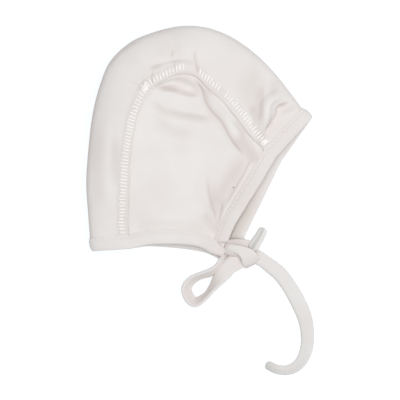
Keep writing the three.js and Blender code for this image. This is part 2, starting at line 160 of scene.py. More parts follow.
def travelled_along(line: Array) -> Array:
    """Distance from the start of a line to each of its points."""
    steps = np.linalg.norm(np.diff(line, axis=0), axis=1)
    return np.concatenate(((0.0,), np.cumsum(steps)))


def spaced_shares(curve: Callable[[Array], Array], spacing: float) -> Array:
    """Shares at which a curve has evenly spaced points.

    Args:
        curve: Function from shares to points.
        spacing: Distance between neighbours in millimetres.

    Returns:
        The shares, both ends included.
    """
    fine = np.linspace(0.0, 1.0, CURVE_SAMPLES)
    travelled = travelled_along(curve(fine))
    count = max(2, round(travelled[-1] / spacing) + 1)
    return np.interp(np.linspace(0.0, travelled[-1], count), travelled, fine)


@dataclass(frozen=True)
class Stroke:
    """A soft stroke along a line of the plan, with its own reach on each side.

    As a fold its amount is the height of a ridge or a dent. As painted shade it is the share of the
    shade colour; a negative amount takes painted shade away.
    """

    path: tuple[tuple[float, float], ...]
    amount: float
    left: float
    right: float
    fade: float = 0.4
    steps: int = 28

    def amounts(self, x: Array, y: Array) -> Array:
        """Amount of the stroke at points of the plan.

        Args:
            x: Plan X of the points.
            y: Plan Y of the points.

        Returns:
            The amounts, in the shape of x.
        """
        line = spline(self.path, np.linspace(0.0, 1.0, self.steps))
        start = line[:-1]
        step = np.diff(line, axis=0)
        length = np.linalg.norm(step, axis=1)
        margin = max(self.left, self.right)
        low = line.min(axis=0) - margin
        high = line.max(axis=0) + margin
        near = (x > low[0]) & (x < high[0]) & (y > low[1]) & (y < high[1])
        from_x = x[near][:, None] - start[:, 0]
        from_y = y[near][:, None] - start[:, 1]
        along = np.clip((from_x * step[:, 0] + from_y * step[:, 1]) / length**2, 0.0, 1.0)
        off_x = from_x - along * step[:, 0]
        off_y = from_y - along * step[:, 1]
        rows = np.arange(len(off_x))
        nearest = np.argmin(off_x**2 + off_y**2, axis=1)
        off_x = off_x[rows, nearest]
        off_y = off_y[rows, nearest]
        on_left = step[nearest, 0] * off_y - step[nearest, 1] * off_x > 0.0
        reach = np.hypot(off_x, off_y) / np.where(on_left, self.left, self.right)
        travelled = travelled_along(line)
        share = (travelled[nearest] + along[rows, nearest] * length[nearest]) / travelled[-1]
        ends = smooth(share / self.fade) * smooth((1.0 - share) / self.fade)
        amounts = np.zeros(x.shape)
        amounts[near] = self.amount * ends * np.clip(1.0 - reach**2, 0.0, 1.0) ** 2
        return amounts


def stroke_sum(strokes: Sequence[Stroke], x: Array, y: Array) -> Array:
    """Sum of several strokes at points of the plan."""
    return sum((stroke.amounts(x, y) for stroke in strokes), np.zeros(x.shape))


@dataclass(frozen=True)
class Ripple:
    """Faint unevenness of soft cloth: a sum of long waves in seeded directions."""

    seed: int
    depth: float
    shortest: float
    longest: float
    waves: int = 9

    def height(self, x: Array, y: Array) -> Array:
        """Height of the unevenness at points of the plan.

        Args:
            x: Plan X of the points.
            y: Plan Y of the points.

        Returns:
            The heights in millimetres.
        """
        draw = np.random.default_rng(self.seed)
        total = np.zeros(x.shape)
        for _ in range(self.waves):
            heading = draw.uniform(0.0, math.tau)
            wavelength = draw.uniform(self.shortest, self.longest)
            phase = draw.uniform(0.0, math.tau)
            across = x * math.cos(heading) + y * math.sin(heading)
            total += np.sin(across * math.tau / wavelength + phase)
        return self.depth * total / math.sqrt(self.waves)


# Sections of the crown strip, from forehead to nape.
CROWN_SECTIONS = (
    CrownSection(68.0, 21.4, 43.0, -6.0, 14.5),
    CrownSection(61.4, 30.2, 34.5, 2.5, 18.0),
    CrownSection(50.2, 44.3, 25.0, 14.7, 21.5),
    CrownSection(36.5, 57.8, 15.0, 26.2, 24.5),
    CrownSection(20.6, 68.6, 5.7, 34.8, 26.5),
    CrownSection(4.2, 74.5, -1.8, 42.0, 28.0),
    CrownSection(-12.1, 75.1, -11.4, 43.7, 29.0),
    CrownSection(-28.1, 71.5, -21.3, 40.1, 30.0),
    CrownSection(-43.9, 64.9, -28.6, 35.8, 30.5),
    CrownSection(-57.2, 52.7, -33.2, 30.2, 30.5),
    CrownSection(-64.1, 37.3, -37.2, 22.6, 30.0),
    CrownSection(-69.0, 18.3, -41.4, 9.4, 29.0),
    CrownSection(-71.8, -3.8, -44.4, -9.1, 27.0),
    CrownSection(-73.4, -26.9, -45.5, -29.6, 24.0),
    CrownSection(-72.3, -46.7, -45.9, -47.4, 20.5),
    CrownSection(-71.1, -63.6, -46.2, -61.9, 17.0),
)
# Section at which the seam turns its corner, from the top to the back of a side panel.
CORNER_SECTION = 8.5
CORNER_SHARE = CORNER_SECTION / (len(CROWN_SECTIONS) - 1)


@dataclass(frozen=True)
class CapPlan:
    """The lines that the pieces of the cap share: fold, seams and the inner lines of the bindings."""

    cloth: float = 1.0
    binding_half: float = 1.7
    fold_share: float = 0.48
    upper_roundness: float = 2.3
    lower_roundness: float = 3.4
    end_share: float = 0.05
    far_front_shift: tuple[float, float] = (4.0, -2.5)
    far_shift_fade: float = 4.0
    near_face: tuple[tuple[float, float, float], ...] = (
        (10.4, -64.4, 9.2),
        (15.6, -52.0, 11.0),
        (24.4, -37.0, 12.8),
        (34.0, -21.5, 14.0),
        (43.0, -6.0, 14.5),
    )
    far_face: tuple[tuple[float, float, float], ...] = (
        (17.6, -69.4, 1.7),
        (24.2, -54.5, 1.7),
        (32.0, -38.5, 1.7),
        (39.6, -23.0, 1.7),
        (47.0, -8.5, 1.7),
    )
    near_neck: tuple[tuple[float, float, float], ...] = (
        (-46.2, -61.9, 17.0),
        (-34.0, -59.0, 17.0),
        (-18.7, -58.4, 16.0),
        (-4.2, -59.3, 13.2),
        (4.4, -61.4, 11.0),
        (10.4, -64.4, 9.2),
    )
    far_neck: tuple[tuple[float, float, float], ...] = (
        (-46.2, -61.9, 1.7),
        (-34.0, -60.2, 1.7),
        (-18.7, -61.0, 1.7),
        (-4.2, -62.6, 1.7),
        (7.6, -65.0, 1.7),
        (17.6, -69.4, 1.7),
    )

    def fold_line(self, share: Array) -> Array:
        """Folded edge of the crown.

        Args:
            share: Place from forehead to nape.

        Returns:
            The points of the edge.
        """
        rows = []
        for row in CROWN_SECTIONS:
            height = self.binding_half + self.fold_share * (row.top - self.binding_half)
            rows.append((row.fold_x, row.fold_y, height))
        return spline(rows, share)

    def seam(self, side: Side, share: Array) -> Array:
        """Seam between the crown and a side panel.

        Args:
            side: Which of the two panels.
            share: Place from forehead to nape.

        Returns:
            The points of the seam.
        """
        if side is Side.UPPER:
            return spline([(row.seam_x, row.seam_y, row.top) for row in CROWN_SECTIONS], share)
        rows = []
        for index, row in enumerate(CROWN_SECTIONS):
            front = (1.0 - index / (len(CROWN_SECTIONS) - 1)) ** self.far_shift_fade
            shift_x, shift_y = self.far_front_shift
            rows.append((row.seam_x + front * shift_x, row.seam_y + front * shift_y, self.cloth / 2))
        return spline(rows, share)

    def face_edge(self, side: Side, share: Array) -> Array:
        """Inner line of the face binding from the chin to the forehead."""
        return spline(self.near_face if side is Side.UPPER else self.far_face, share)

    def neck_edge(self, side: Side, share: Array) -> Array:
        """Inner line of the neck binding from the nape to the chin."""
        return spline(self.near_neck if side is Side.UPPER else self.far_neck, share)

    def panel_patch(self, side: Side, u: Array, v: Array) -> Array:
        """Patch that spans the four edges of a side panel.

        Args:
            side: Which of the two panels.
            u: Share from the back seam to the face binding.
            v: Share from the neck binding to the top seam.

        Returns:
            The points of the patch.
        """
        def back(at: Array) -> Array:
            """Back edge, from the nape up to the corner of the seam."""
            return self.seam(side, 1.0 - at * (1.0 - CORNER_SHARE))

        def top(at: Array) -> Array:
            """Top edge, from the corner of the seam to the forehead."""
            return self.seam(side, CORNER_SHARE * (1.0 - at))

        zero = np.zeros_like(u)
        one = np.ones_like(u)
        sideways = blend(back(v), self.face_edge(side, v), u)
        upwards = blend(self.neck_edge(side, u), top(u), v)
        low = blend(self.neck_edge(side, zero), self.neck_edge(side, one), u)
        high = blend(top(zero), top(one), u)
        return sideways + upwards - blend(low, high, v)

    def crown_point(self, side: Side, share: Array, turn: Array) -> Array:
        """Crown strip without its small folds.

        Args:
            side: Half of the strip, above or below the folded edge.
            share: Place from forehead to nape.
            turn: Angle from the folded edge, 0, to the seam, a right angle.

        Returns:
            The points of the strip.
        """
        fold = self.fold_line(share)
        seam = self.seam(side, share)
        upper = side is Side.UPPER
        power = 2.0 / (self.upper_roundness if upper else self.lower_roundness)
        inward = 1.0 - np.clip(np.cos(turn), 0.0, 1.0) ** power
        level = np.clip(np.sin(turn), 0.0, 1.0) ** power
        at_end = smooth(1.0 - np.minimum(share, 1.0 - share) / self.end_share)
        lift = 0.0 if upper else (self.binding_half - self.cloth / 2) * at_end
        points = blend(fold, seam, inward)
        points[..., 2] = fold[..., 2] + (seam[..., 2] - fold[..., 2] + lift) * level
        return points

    def seam_distance_turn(self, share: Array, distance: Array) -> Array:
        """Angle of the crown strip at a level distance from the upper seam.

        Args:
            share: Place from forehead to nape.
            distance: Distance from the seam in millimetres.

        Returns:
            The angle, 0 at the folded edge and a right angle at the seam.
        """
        reach = self.seam(Side.UPPER, share) - self.fold_line(share)
        width = np.hypot(reach[..., 0], reach[..., 1])
        return np.arccos(np.clip(distance / width, 0.0, 1.0) ** (self.upper_roundness / 2.0))


PLAN = CapPlan()


class MaterialNodes:
    """Short way to add and join the nodes of one material."""

    def __init__(self, name: str) -> None:
        """Starts an empty node tree with an output.

        Args:
            name: Name of the material.
        """
        self.material = bpy.data.materials.new(name)
        self.material.use_nodes = True
        self.tree = self.material.node_tree
        self.tree.nodes.clear()
        self.output = self.add("ShaderNodeOutputMaterial")

    def add(self, kind: str, inputs: dict[str, float] | None = None, **settings: str) -> bpy.types.Node:
        """Adds a node.

        Args:
            kind: Blender's name of the node type.
            inputs: Values for its sockets.
            settings: Values for its properties.

        Returns:
            The new node.
        """
        node = self.tree.nodes.new(kind)
        for name, value in settings.items():
            setattr(node, name, value)
        for name, value in (inputs or {}).items():
            node.inputs[name].default_value = value
        return node

    def link(
        self, source: bpy.types.Node, output: str, target: bpy.types.Node, socket: str | int
    ) -> None:
        """Joins an output to a socket. A mixing node is joined at its colour sockets.

        Args:
            source: Node that the value comes from.
            output: Name of its output.
            target: Node that takes the value.
            socket: Name or number of its socket.
        """
        if source.bl_idname == "ShaderNodeMix":
            out = next(item for item in source.outputs if item.name == output and item.type == "RGBA")
        else:
            out = source.outputs[output]
        if target.bl_idname == "ShaderNodeMix" and socket in ("A", "B"):
            into = next(item for item in target.inputs if item.name == socket and item.type == "RGBA")
        else:
            into = target.inputs[socket]
        self.tree.links.new(out, into)

    def mix_colour(self, first: Colour, second: Colour) -> bpy.types.Node:
        """Adds a node that mixes two colours.

        Args:
            first: Colour at a factor of 0.
            second: Colour at a factor of 1.

        Returns:
            The new node.
        """
        node = self.add("ShaderNodeMix", data_type="RGBA")
        colours = [item for item in node.inputs if item.type == "RGBA"]
        colours[0].default_value = (*first, 1.0)
        colours[1].default_value = (*second, 1.0)
        return node

    def shader(self, roughness: float, sheen: float) -> bpy.types.Node:
        """Adds the surface shader of soft matt stuff and joins it to the output.

        Args:
            roughness: Roughness of the surface.
            sheen: Weight of the soft sheen.

        Returns:
            The new node.
        """
        values = {
            "Roughness": roughness,
            "Sheen Weight": sheen,
            "Sheen Roughness": SHEEN_ROUGHNESS,
            "Specular IOR Level": CLOTH_SPECULAR,
        }
        node = self.add("ShaderNodeBsdfPrincipled", values)
        self.link(node, "BSDF", self.output, "Surface")
        return node


@dataclass(frozen=True)
class ClothFinish:
    """Soft matt cotton with a fine knit, faint warm and cool patches and painted shade from a stored
    share.
    """

    name: str
    colour: Colour
    patch_colour: Colour
    roughness: float = 0.95
    sheen: float = 0.05
    wale_pitch: float = 0.0009
    relief: float = 0.12
    # Colour that the painted shade mixes towards.
    painted_shade_colour: Colour = (0.545, 0.445, 0.405)
    patch_size: float = 0.03
    patch_detail: float = 2.0
    patch_low: float = 0.35
    patch_high: float = 0.65
    course_share: float = 0.75
    relief_height: float = 0.0002
    speck_colour: Colour = (0.12, 0.11, 0.11)
    speck_radius: float = 0.0006

    def material(self, speck: Sequence[float] | None = None) -> bpy.types.Material:
        """Builds the material.

        Args:
            speck: Middle of a tiny dark speck in the cloth, in metres, or None.

        Returns:
            The new material.
        """
        nodes = MaterialNodes(self.name)
        coordinates = nodes.add("ShaderNodeTexCoord")
        pattern = {"Scale": 1.0 / self.patch_size, "Detail": self.patch_detail}
        patches = nodes.add("ShaderNodeTexNoise", pattern)
        nodes.link(coordinates, "Object", patches, "Vector")
        limits = {"From Min": self.patch_low, "From Max": self.patch_high}
        strength = nodes.add("ShaderNodeMapRange", limits)
        nodes.link(patches, "Fac", strength, "Value")
        tint = nodes.mix_colour(self.colour, self.patch_colour)
        nodes.link(strength, "Result", tint, "Factor")
        # Painted shade: the stored share mixes the cloth's colour towards the shade colour.
        shade = nodes.add("ShaderNodeAttribute", attribute_name=PAINTED_SHADE_NAME)
        shaded = nodes.mix_colour(self.colour, self.painted_shade_colour)
        nodes.link(shade, "Fac", shaded, "Factor")
        nodes.link(tint, "Result", shaded, "A")
        cloth_colour = shaded
        if speck is not None:
            distance = nodes.add("ShaderNodeVectorMath", operation="DISTANCE")
            distance.inputs[1].default_value = speck
            nodes.link(coordinates, "Object", distance, 0)
            limits = {"From Min": 0.5 * self.speck_radius, "From Max": self.speck_radius}
            spot = nodes.add("ShaderNodeMapRange", limits)
            nodes.link(distance, "Value", spot, "Value")
            cloth_colour = nodes.mix_colour(self.speck_colour, self.colour)
            nodes.link(spot, "Result", cloth_colour, "Factor")
            nodes.link(shaded, "Result", cloth_colour, "B")
        shader = nodes.shader(self.roughness, self.sheen)
        nodes.link(cloth_colour, "Result", shader, "Base Color")
        self._add_knit(nodes, coordinates, shader)
        return nodes.material

    def _add_knit(
        self, nodes: MaterialNodes, coordinates: bpy.types.Node, shader: bpy.types.Node
    ) -> None:
        """Raises the wales and courses of the knit along the cloth's own map, which is in metres.

        Args:
            nodes: The material's nodes.
            coordinates: Node that gives the map.
            shader: Surface shader that takes the relief.
        """
        waves = []
        for direction, pitch in (("X", self.wale_pitch), ("Y", self.course_share * self.wale_pitch)):
            scale = {"Scale": math.tau / (WAVE_TEXTURE_RATE * pitch)}
            wave = nodes.add("ShaderNodeTexWave", scale, wave_type="BANDS", bands_direction=direction)
            nodes.link(coordinates, "UV", wave, "Vector")
            waves.append(wave)
        knit = nodes.add("ShaderNodeMath", operation="MULTIPLY")
        nodes.link(waves[0], "Fac", knit, 0)
        nodes.link(waves[1], "Fac", knit, 1)
        bump = nodes.add("ShaderNodeBump", {"Strength": self.relief, "Distance": self.relief_height})
        nodes.link(knit, "Value", bump, "Height")
        nodes.link(bump, "Normal", shader, "Normal")


JERSEY = ClothFinish("jersey", colour=(0.81, 0.762, 0.718), patch_colour=(0.785, 0.722, 0.684))
TAPE = ClothFinish("binding_tape", colour=(0.80, 0.752, 0.710), patch_colour=(0.775, 0.712, 0.675))
# The face tape's painted shade is golden, for the shadowed gap between its two layers.
FACE_TAPE = replace(TAPE, name="face_tape", painted_shade_colour=(0.55, 0.44, 0.33))
# The free ends of the ties have a cooler grey painted shade.
TIE_TAPE = ClothFinish(
    "tie_tape",
    colour=(0.79, 0.752, 0.712),
    patch_colour=(0.765, 0.714, 0.68),
    painted_shade_colour=(0.46, 0.448, 0.415),
)
THREAD = ClothFinish(
    "thread",
    colour=(0.97, 0.925, 0.885),
    patch_colour=(0.96, 0.91, 0.87),
    roughness=0.8,
    sheen=0.1,
    wale_pitch=0.0004,
    relief=0.1,
)
SOFT_THREAD = replace(
    THREAD, name="soft_thread", colour=(0.84, 0.79, 0.75), patch_colour=(0.82, 0.77, 0.73)
)


def select_only(piece: bpy.types.Object) -> None:
    """Makes one object the only selected and the active one.

    Args:
        piece: The object.
    """
    bpy.ops.object.select_all(action="DESELECT")
    piece.select_set(True)
    bpy.context.view_layer.objects.active = piece


def join_pieces(pieces: Sequence[bpy.types.Object], name: str) -> bpy.types.Object:
    """Joins pieces into one.

    Args:
        pieces: The objects, the first of which takes up the others.
        name: Name of the joined piece.

    Returns:
        The first object.
    """
    joined = pieces[0]
    select_only(joined)
    for piece in pieces[1:]:
        piece.select_set(True)
    bpy.ops.object.join()
    joined.name = name
    joined.data.name = name
    return joined


def size_map(piece: bpy.types.Object, cut: tuple[float, float]) -> None:
    """Scales a piece's own map, which spans 0 to 1, to metres of cloth.

    Args:
        piece: The mesh object.
        cut: Flat size of the cloth in millimetres.
    """
    flat_map = piece.data.uv_layers[0].uv
    corners = np.empty(2 * len(flat_map))
    flat_map.foreach_get("vector", corners)
    sized = corners.reshape(-1, 2) * np.array(cut) * MM
    flat_map.foreach_set("vector", sized.ravel())


def store_painted_shade(piece: bpy.types.Object, shares: Array) -> None:
    """Stores the share of painted shade at each point of a piece."""
    attribute = piece.data.attributes.new(PAINTED_SHADE_NAME, "FLOAT", "POINT")
    attribute.data.foreach_set("value", np.clip(shares, 0.0, 1.0))


def cloth_grid(
    name: str, points: Array, cut: tuple[float, float], shade: Array | None = None
) -> bpy.types.Object:
    """Sheet of cloth through a grid of points.

    Args:
        name: Name of the piece.
        points: Rows and columns of places in millimetres of the plan.
        cut: Flat size of the cloth along the columns and the rows, in millimetres, for its own map.
        shade: Share of painted shade at each point, or None.

    Returns:
        The sheet as a smooth mesh in metres.
    """
    rows, columns, _ = points.shape
    bpy.ops.object.select_all(action="DESELECT")
    bpy.ops.mesh.primitive_grid_add(x_subdivisions=columns - 1, y_subdivisions=rows - 1, size=1.0)
    sheet = bpy.context.object
    sheet.name = name
    sheet.data.name = name
    places = np.empty(3 * len(sheet.data.vertices))
    sheet.data.vertices.foreach_get("co", places)
    shares = places.reshape(-1, 3)[:, :2] + 0.5
    column = np.rint(shares[:, 0] * (columns - 1)).astype(int)
    row = np.rint(shares[:, 1] * (rows - 1)).astype(int)
    moved = (points[row, column] - PLAN_MIDDLE) * MM
    sheet.data.vertices.foreach_set("co", moved.ravel())
    if shade is not None:
        store_painted_shade(sheet, shade[row, column])
    size_map(sheet, cut)
    sheet.data.update()
    bpy.ops.object.shade_smooth()
    return sheet


def thicken(sheet: bpy.types.Object, wall: float) -> None:
    """Gives a sheet its wall, half to each side, and applies it.

    Args:
        sheet: The sheet of cloth.
        wall: Thickness in millimetres.
    """
    select_only(sheet)
    bpy.ops.object.modifier_add(type="SOLIDIFY")
    modifier = sheet.modifiers[-1]
    modifier.thickness = wall * MM
    modifier.offset = 0.0
    bpy.ops.object.modifier_apply(modifier=modifier.name)


def weld(piece: bpy.types.Object) -> None:
    """Closes a piece whose edges meet and points its faces outwards.

    Args:
        piece: The mesh object.
    """
    select_only(piece)
    bpy.ops.object.mode_set(mode="EDIT")
    bpy.ops.mesh.select_all(action="SELECT")
    bpy.ops.mesh.remove_doubles(threshold=WELD_DISTANCE)
    bpy.ops.mesh.normals_make_consistent(inside=False)
    bpy.ops.object.mode_set(mode="OBJECT")


def dress(
    piece: bpy.types.Object, material: bpy.types.Material, slot: Slot, *nodes: str
) -> bpy.types.Object:
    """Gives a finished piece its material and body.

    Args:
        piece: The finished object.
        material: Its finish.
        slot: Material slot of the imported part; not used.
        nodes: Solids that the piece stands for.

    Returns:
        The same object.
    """
    piece.data.materials.clear()
    piece.data.materials.append(material)
    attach(piece, "root")
    if nodes:
        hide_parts(*nodes)
    LOG.info("%s: %d faces", piece.name, len(piece.data.polygons))
    return piece


CROWN_FOLDS = (
    # Ridge of the pucker near the forehead.
    Stroke(
        ((43.4, 7.4), (44.7, 12.7), (45.7, 18.6), (46.7, 23.9), (49.6, 27.2), (54.6, 28.8), (60.5, 27.9)),
        4.8, 6.8, 2.8, 0.3,
    ),
    # Crease on the face side of that pucker.
    Stroke(
        ((63.5, 26.6), (55.9, 24.2), (51.6, 22.6), (50.6, 18.0), (48.3, 13.7), (46.3, 10.4), (42.7, 4.8)),
        -1.6, 2.3, 2.0, 0.25,
    ),
    # Broad hollow behind the pucker.
    Stroke(((32.1, 47.0), (31.5, 33.8), (32.1, 21.9), (35.4, 12.7)), -1.8, 13.0, 9.0),
    # Shallow hollow down the back.
    Stroke(((-55.3, 14.0), (-55.8, -6.0), (-56.0, -26.0), (-55.0, -42.0)), -0.4, 4.5, 4.5),
    # Short crease on the top.
    Stroke(((-16.6, 61.0), (-17.4, 57.0), (-18.4, 52.5)), -0.9, 1.5, 1.5),
    # Crease on the top that crosses the seam band.
    Stroke(((-2.6, 61.5), (-2.4, 54.4), (-0.9, 49.0), (-1.0, 42.4)), -0.8, 1.6, 1.5, 0.25),
    # Soft rise between those two creases.
    Stroke(((-10.4, 73.0), (-9.8, 64.0), (-9.2, 53.0)), 1.0, 6.0, 7.5),
    # Puffed stretch of the seam band.
    Stroke(((-16.5, 48.0), (-9.5, 49.6), (-1.8, 48.6)), 1.1, 4.4, 5.0, 0.15),
    # Hollow above the seam band next to its corner.
    Stroke(((-34.5, 46.5), (-27.9, 49.6), (-19.0, 52.4), (-8.0, 54.2)), -1.3, 3.0, 2.4),
    # Short crease across the band at the corner.
    Stroke(((-30.2, 47.0), (-30.4, 41.0), (-30.2, 35.5)), -1.0, 1.2, 1.2),
    # Small bulge at the corner.
    Stroke(((-37.0, 39.0), (-34.2, 37.0), (-32.0, 34.5)), 1.1, 3.2, 3.2),
    # Crease from the corner towards the back.
    Stroke(((-47.0, 37.0), (-41.0, 35.4), (-36.0, 34.0)), -0.9, 2.4, 2.0),
)
# Painted shade on the crown: darker colour in its creases and hollows and on slopes turned from the
# light; a negative amount takes some away.
CROWN_PAINTED_SHADE = (
    # Slope behind the pucker's ridge.
    Stroke(((42.4, 37.8), (42.2, 28.5), (41.9, 20.6), (42.2, 10.0)), 0.3, 1.8, 6.5, 0.3),
    # Strip between the pucker and the seam.
    Stroke(((34.5, 24.5), (37.2, 14.8), (40.2, 6.6), (43.2, 0.5)), 0.32, 5.0, 4.6, 0.18),
    # Crease on the face side of the pucker.
    Stroke(
        ((61.2, 25.9), (55.9, 24.6), (51.7, 22.6), (50.8, 18.0), (48.3, 13.7), (44.7, 8.7), (42.7, 4.1)),
        0.62, 1.5, 1.4, 0.2,
    ),
    # Soft side of that crease.
    Stroke(((59.2, 24.6), (53.9, 23.2), (51.6, 19.9)), 0.3, 2.6, 2.4),
    # Hollow down the back.
    Stroke(((-52.0, 11.4), (-54.6, -3.2), (-55.1, -15.7), (-54.0, -34.8)), 0.17, 4.4, 4.0),
    # Slope down to the folded edge at the back.
    Stroke(
        ((-59.6, 23.9), (-64.2, 4.1), (-65.2, -15.7), (-64.5, -35.5), (-62.9, -52.0)),
        0.16, 5.0, 6.0, 0.3,
    ),
    # Hollow above the seam band next to its corner.
    Stroke(((-33.9, 46.3), (-28.6, 47.7), (-22.0, 50.3)), 0.32, 4.2, 3.2),
    # Short crease across the band at the corner.
    Stroke(((-30.9, 46.3), (-30.6, 41.1), (-30.4, 36.4)), 0.4, 0.9, 0.9),
    # Short crease on the top.
    Stroke(((-16.8, 60.9), (-17.4, 57.6), (-18.0, 53.6)), 0.4, 1.0, 1.0),
    # Crease on the top that crosses the seam band.
    Stroke(((-2.5, 60.2), (-2.4, 54.3), (-0.9, 49.0), (-0.6, 43.0)), 0.42, 1.2, 1.2, 0.25),
    # Broad hollow behind the pucker.
    Stroke(((46.0, 45.7), (38.1, 28.5), (32.1, 14.0)), 0.2, 8.0, 13.0, 0.3),
    # Slope above the pucker.
    Stroke(((51.3, 43.0), (49.3, 33.8), (44.7, 28.5)), 0.24, 5.5, 5.0),
    # Back of the broad hollow.
    Stroke(((42.0, 54.9), (32.8, 40.4), (26.2, 25.9)), 0.14, 9.0, 9.0),
    # Puffed stretch of the seam band, where painted shade is taken away.
    Stroke(((-16.7, 47.7), (-9.4, 49.0), (-1.5, 48.3)), -0.24, 4.0, 4.5, 0.15),
    # Forehead end of the seam.
    Stroke(((44.7, 6.1), (40.7, -1.2), (37.4, -7.1)), 0.25, 4.0, 4.0),
    # Folded edge where the top turns to the back.
    Stroke(((-61.0, 44.0), (-54.2, 55.8), (-46.0, 62.2), (-34.5, 68.2)), 0.3, 3.4, 3.4, 0.3),
    # Corner at the forehead.
    Stroke(((66.5, 23.6), (58.5, 20.2), (51.0, 16.6)), 0.22, 3.2, 3.2),
)


@dataclass
class CrownPanel:
    """Crown strip from forehead to nape, folded along its middle, with its raised seam band."""

    rows: int = 350
    band_columns: int = 26
    upper_columns: int = 44
    lower_columns: int = 28
    overrun: float = 0.017
    band_reach: float = 9.0
    band_width: float = 6.6
    band_margin: float = 2.0
    band_fall: float = 3.6
    band_edge: float = 0.5
    band_rise: float = 0.55
    seam_groove: float = 1.1
    edge_dip: float = 0.4
    # Painted shade on the seam band under the ladder stitches, in a thin line along the seam groove and
    # near the folded edge, more of it at the back.
    painted_band_shade: float = 0.13
    painted_seam_line_shade: float = 0.16
    seam_reach: float = 0.9
    painted_front_edge_shade: float = 0.16
    painted_back_edge_shade: float = 0.46
    edge_reach: float = 0.52
    back_from: float = 0.3
    back_run: float = 0.35
    lead_rows: int = 4
    ripple: Ripple = Ripple(5, 0.2, 14.0, 40.0)
    cut: tuple[float, float] = (88.0, 262.0)

    def band_height(self, distance: Array) -> Array:
        """Height of the sewn band, which dips into the seam itself.

        Args:
            distance: Level distance from the seam in millimetres.

        Returns:
            The heights in millimetres.
        """
        to_end = self.band_width + self.band_margin - distance
        raised = smooth(distance / self.seam_groove) * smooth(to_end / self.band_fall)
        dip = self.edge_dip * smooth(1.0 - distance / self.seam_groove)
        return self.band_rise * raised - dip

    def upper_points(self, share: Array, turn: Array) -> Array:
        """Upper half of the strip with its folds.

        Args:
            share: Place from forehead to nape.
            turn: Angle from the folded edge to the seam.

        Returns:
            The points of the cloth's middle.
        """
        points = PLAN.crown_point(Side.UPPER, share, turn)
        seam = PLAN.seam(Side.UPPER, share)
        distance = np.hypot(points[..., 0] - seam[..., 0], points[..., 1] - seam[..., 1])
        level = np.sin(turn)
        off_end = 1.0 - smooth(1.0 - np.minimum(share, 1.0 - share) / (0.5 * PLAN.end_share))
        x, y = points[..., 0], points[..., 1]
        height = (stroke_sum(CROWN_FOLDS, x, y) + self.ripple.height(x, y)) * off_end
        points[..., 2] += (height + self.band_height(distance)) * level
        return points

    def upper_painted_shade(self, share: Array, turn: Array) -> Array:
        """Painted shade of the upper half, in its creases, on the seam band and along the seam.

        Args:
            share: Place from forehead to nape.
            turn: Angle from the folded edge to the seam.

        Returns:
            The shares of painted shade.
        """
        points = PLAN.crown_point(Side.UPPER, share, turn)
        seam = PLAN.seam(Side.UPPER, share)
        distance = np.hypot(points[..., 0] - seam[..., 0], points[..., 1] - seam[..., 1])
        band = smooth(distance) * smooth(self.band_width + self.band_edge - distance)
        line = smooth(1.0 - distance / self.seam_reach)
        painted_seam_band_shade = self.painted_band_shade * band + self.painted_seam_line_shade * line
        creases = stroke_sum(CROWN_PAINTED_SHADE, points[..., 0], points[..., 1])
        return np.maximum(creases + painted_seam_band_shade, self.painted_fold_shade(share, turn))

    def painted_fold_shade(self, share: Array, turn: Array) -> Array:
        """Painted shade close to the folded edge, where the cloth turns from the light, more of it at the
        back.

        Args:
            share: Place from forehead to nape.
            turn: Angle from the folded edge to the seam.

        Returns:
            The shares of painted shade.
        """
        to_back = smooth((share - self.back_from) / self.back_run)
        amount = self.painted_front_edge_shade + (self.painted_back_edge_shade - self.painted_front_edge_shade) * to_back
        return amount * smooth(1.0 - turn / self.edge_reach)

    def build(self) -> bpy.types.Object:
        """Builds and dresses the strip.

        Returns:
            The dressed piece.
        """
        run = np.linspace(-self.overrun, 1.0 + self.overrun, self.rows)
        share = np.clip(run, 0.0, 1.0)[:, None]
        distances = np.linspace(0.0, self.band_reach, self.band_columns)[None, :]
        band_turn = PLAN.seam_distance_turn(share, distances + 0.0 * share)
        rest = np.linspace(1.0, 0.0, self.upper_columns + 1)[None, 1:]
        upper_turn = np.hstack((band_turn, band_turn[:, -1:] * rest))
        upper = self.upper_points(share + 0.0 * upper_turn, upper_turn)
        lower_turn = np.linspace(0.0, math.pi / 2, self.lower_columns + 1)[None, 1:] + 0.0 * share
        lower = PLAN.crown_point(Side.LOWER, share + 0.0 * lower_turn, lower_turn)
        points = np.concatenate((upper, lower), axis=1)
        self._run_into_bindings(points, run)
        upper_painted_shade = self.upper_painted_shade(share + 0.0 * upper_turn, upper_turn)
        shade = np.hstack((upper_painted_shade, self.painted_fold_shade(share, lower_turn)))
        piece = cloth_grid("crown_cloth", points, self.cut, shade)
        thicken(piece, PLAN.cloth)
        dress(piece, JERSEY.material(), Slot.JERSEY, "crown_panel")
        return piece

    def _run_into_bindings(self, points: Array, run: Array) -> None:
        """Carries the rows past the two ends straight on into the bindings.

        Args:
            points: Rows and columns of the strip, changed in place.
            run: Place of each row, below 0 and above 1 past the ends.
        """
        first = int(np.argmax(run >= 0.0))
        last = len(run) - 1 - first
        ends = (
            (first, first + self.lead_rows, range(first)),
            (last, last - self.lead_rows, range(last + 1, len(run))),
        )
        for end, inner, rows in ends:
            ahead = (points[end] - points[inner]) / (run[end] - run[inner])
            for row in rows:
                points[row] = points[end] + ahead * (run[row] - run[end])


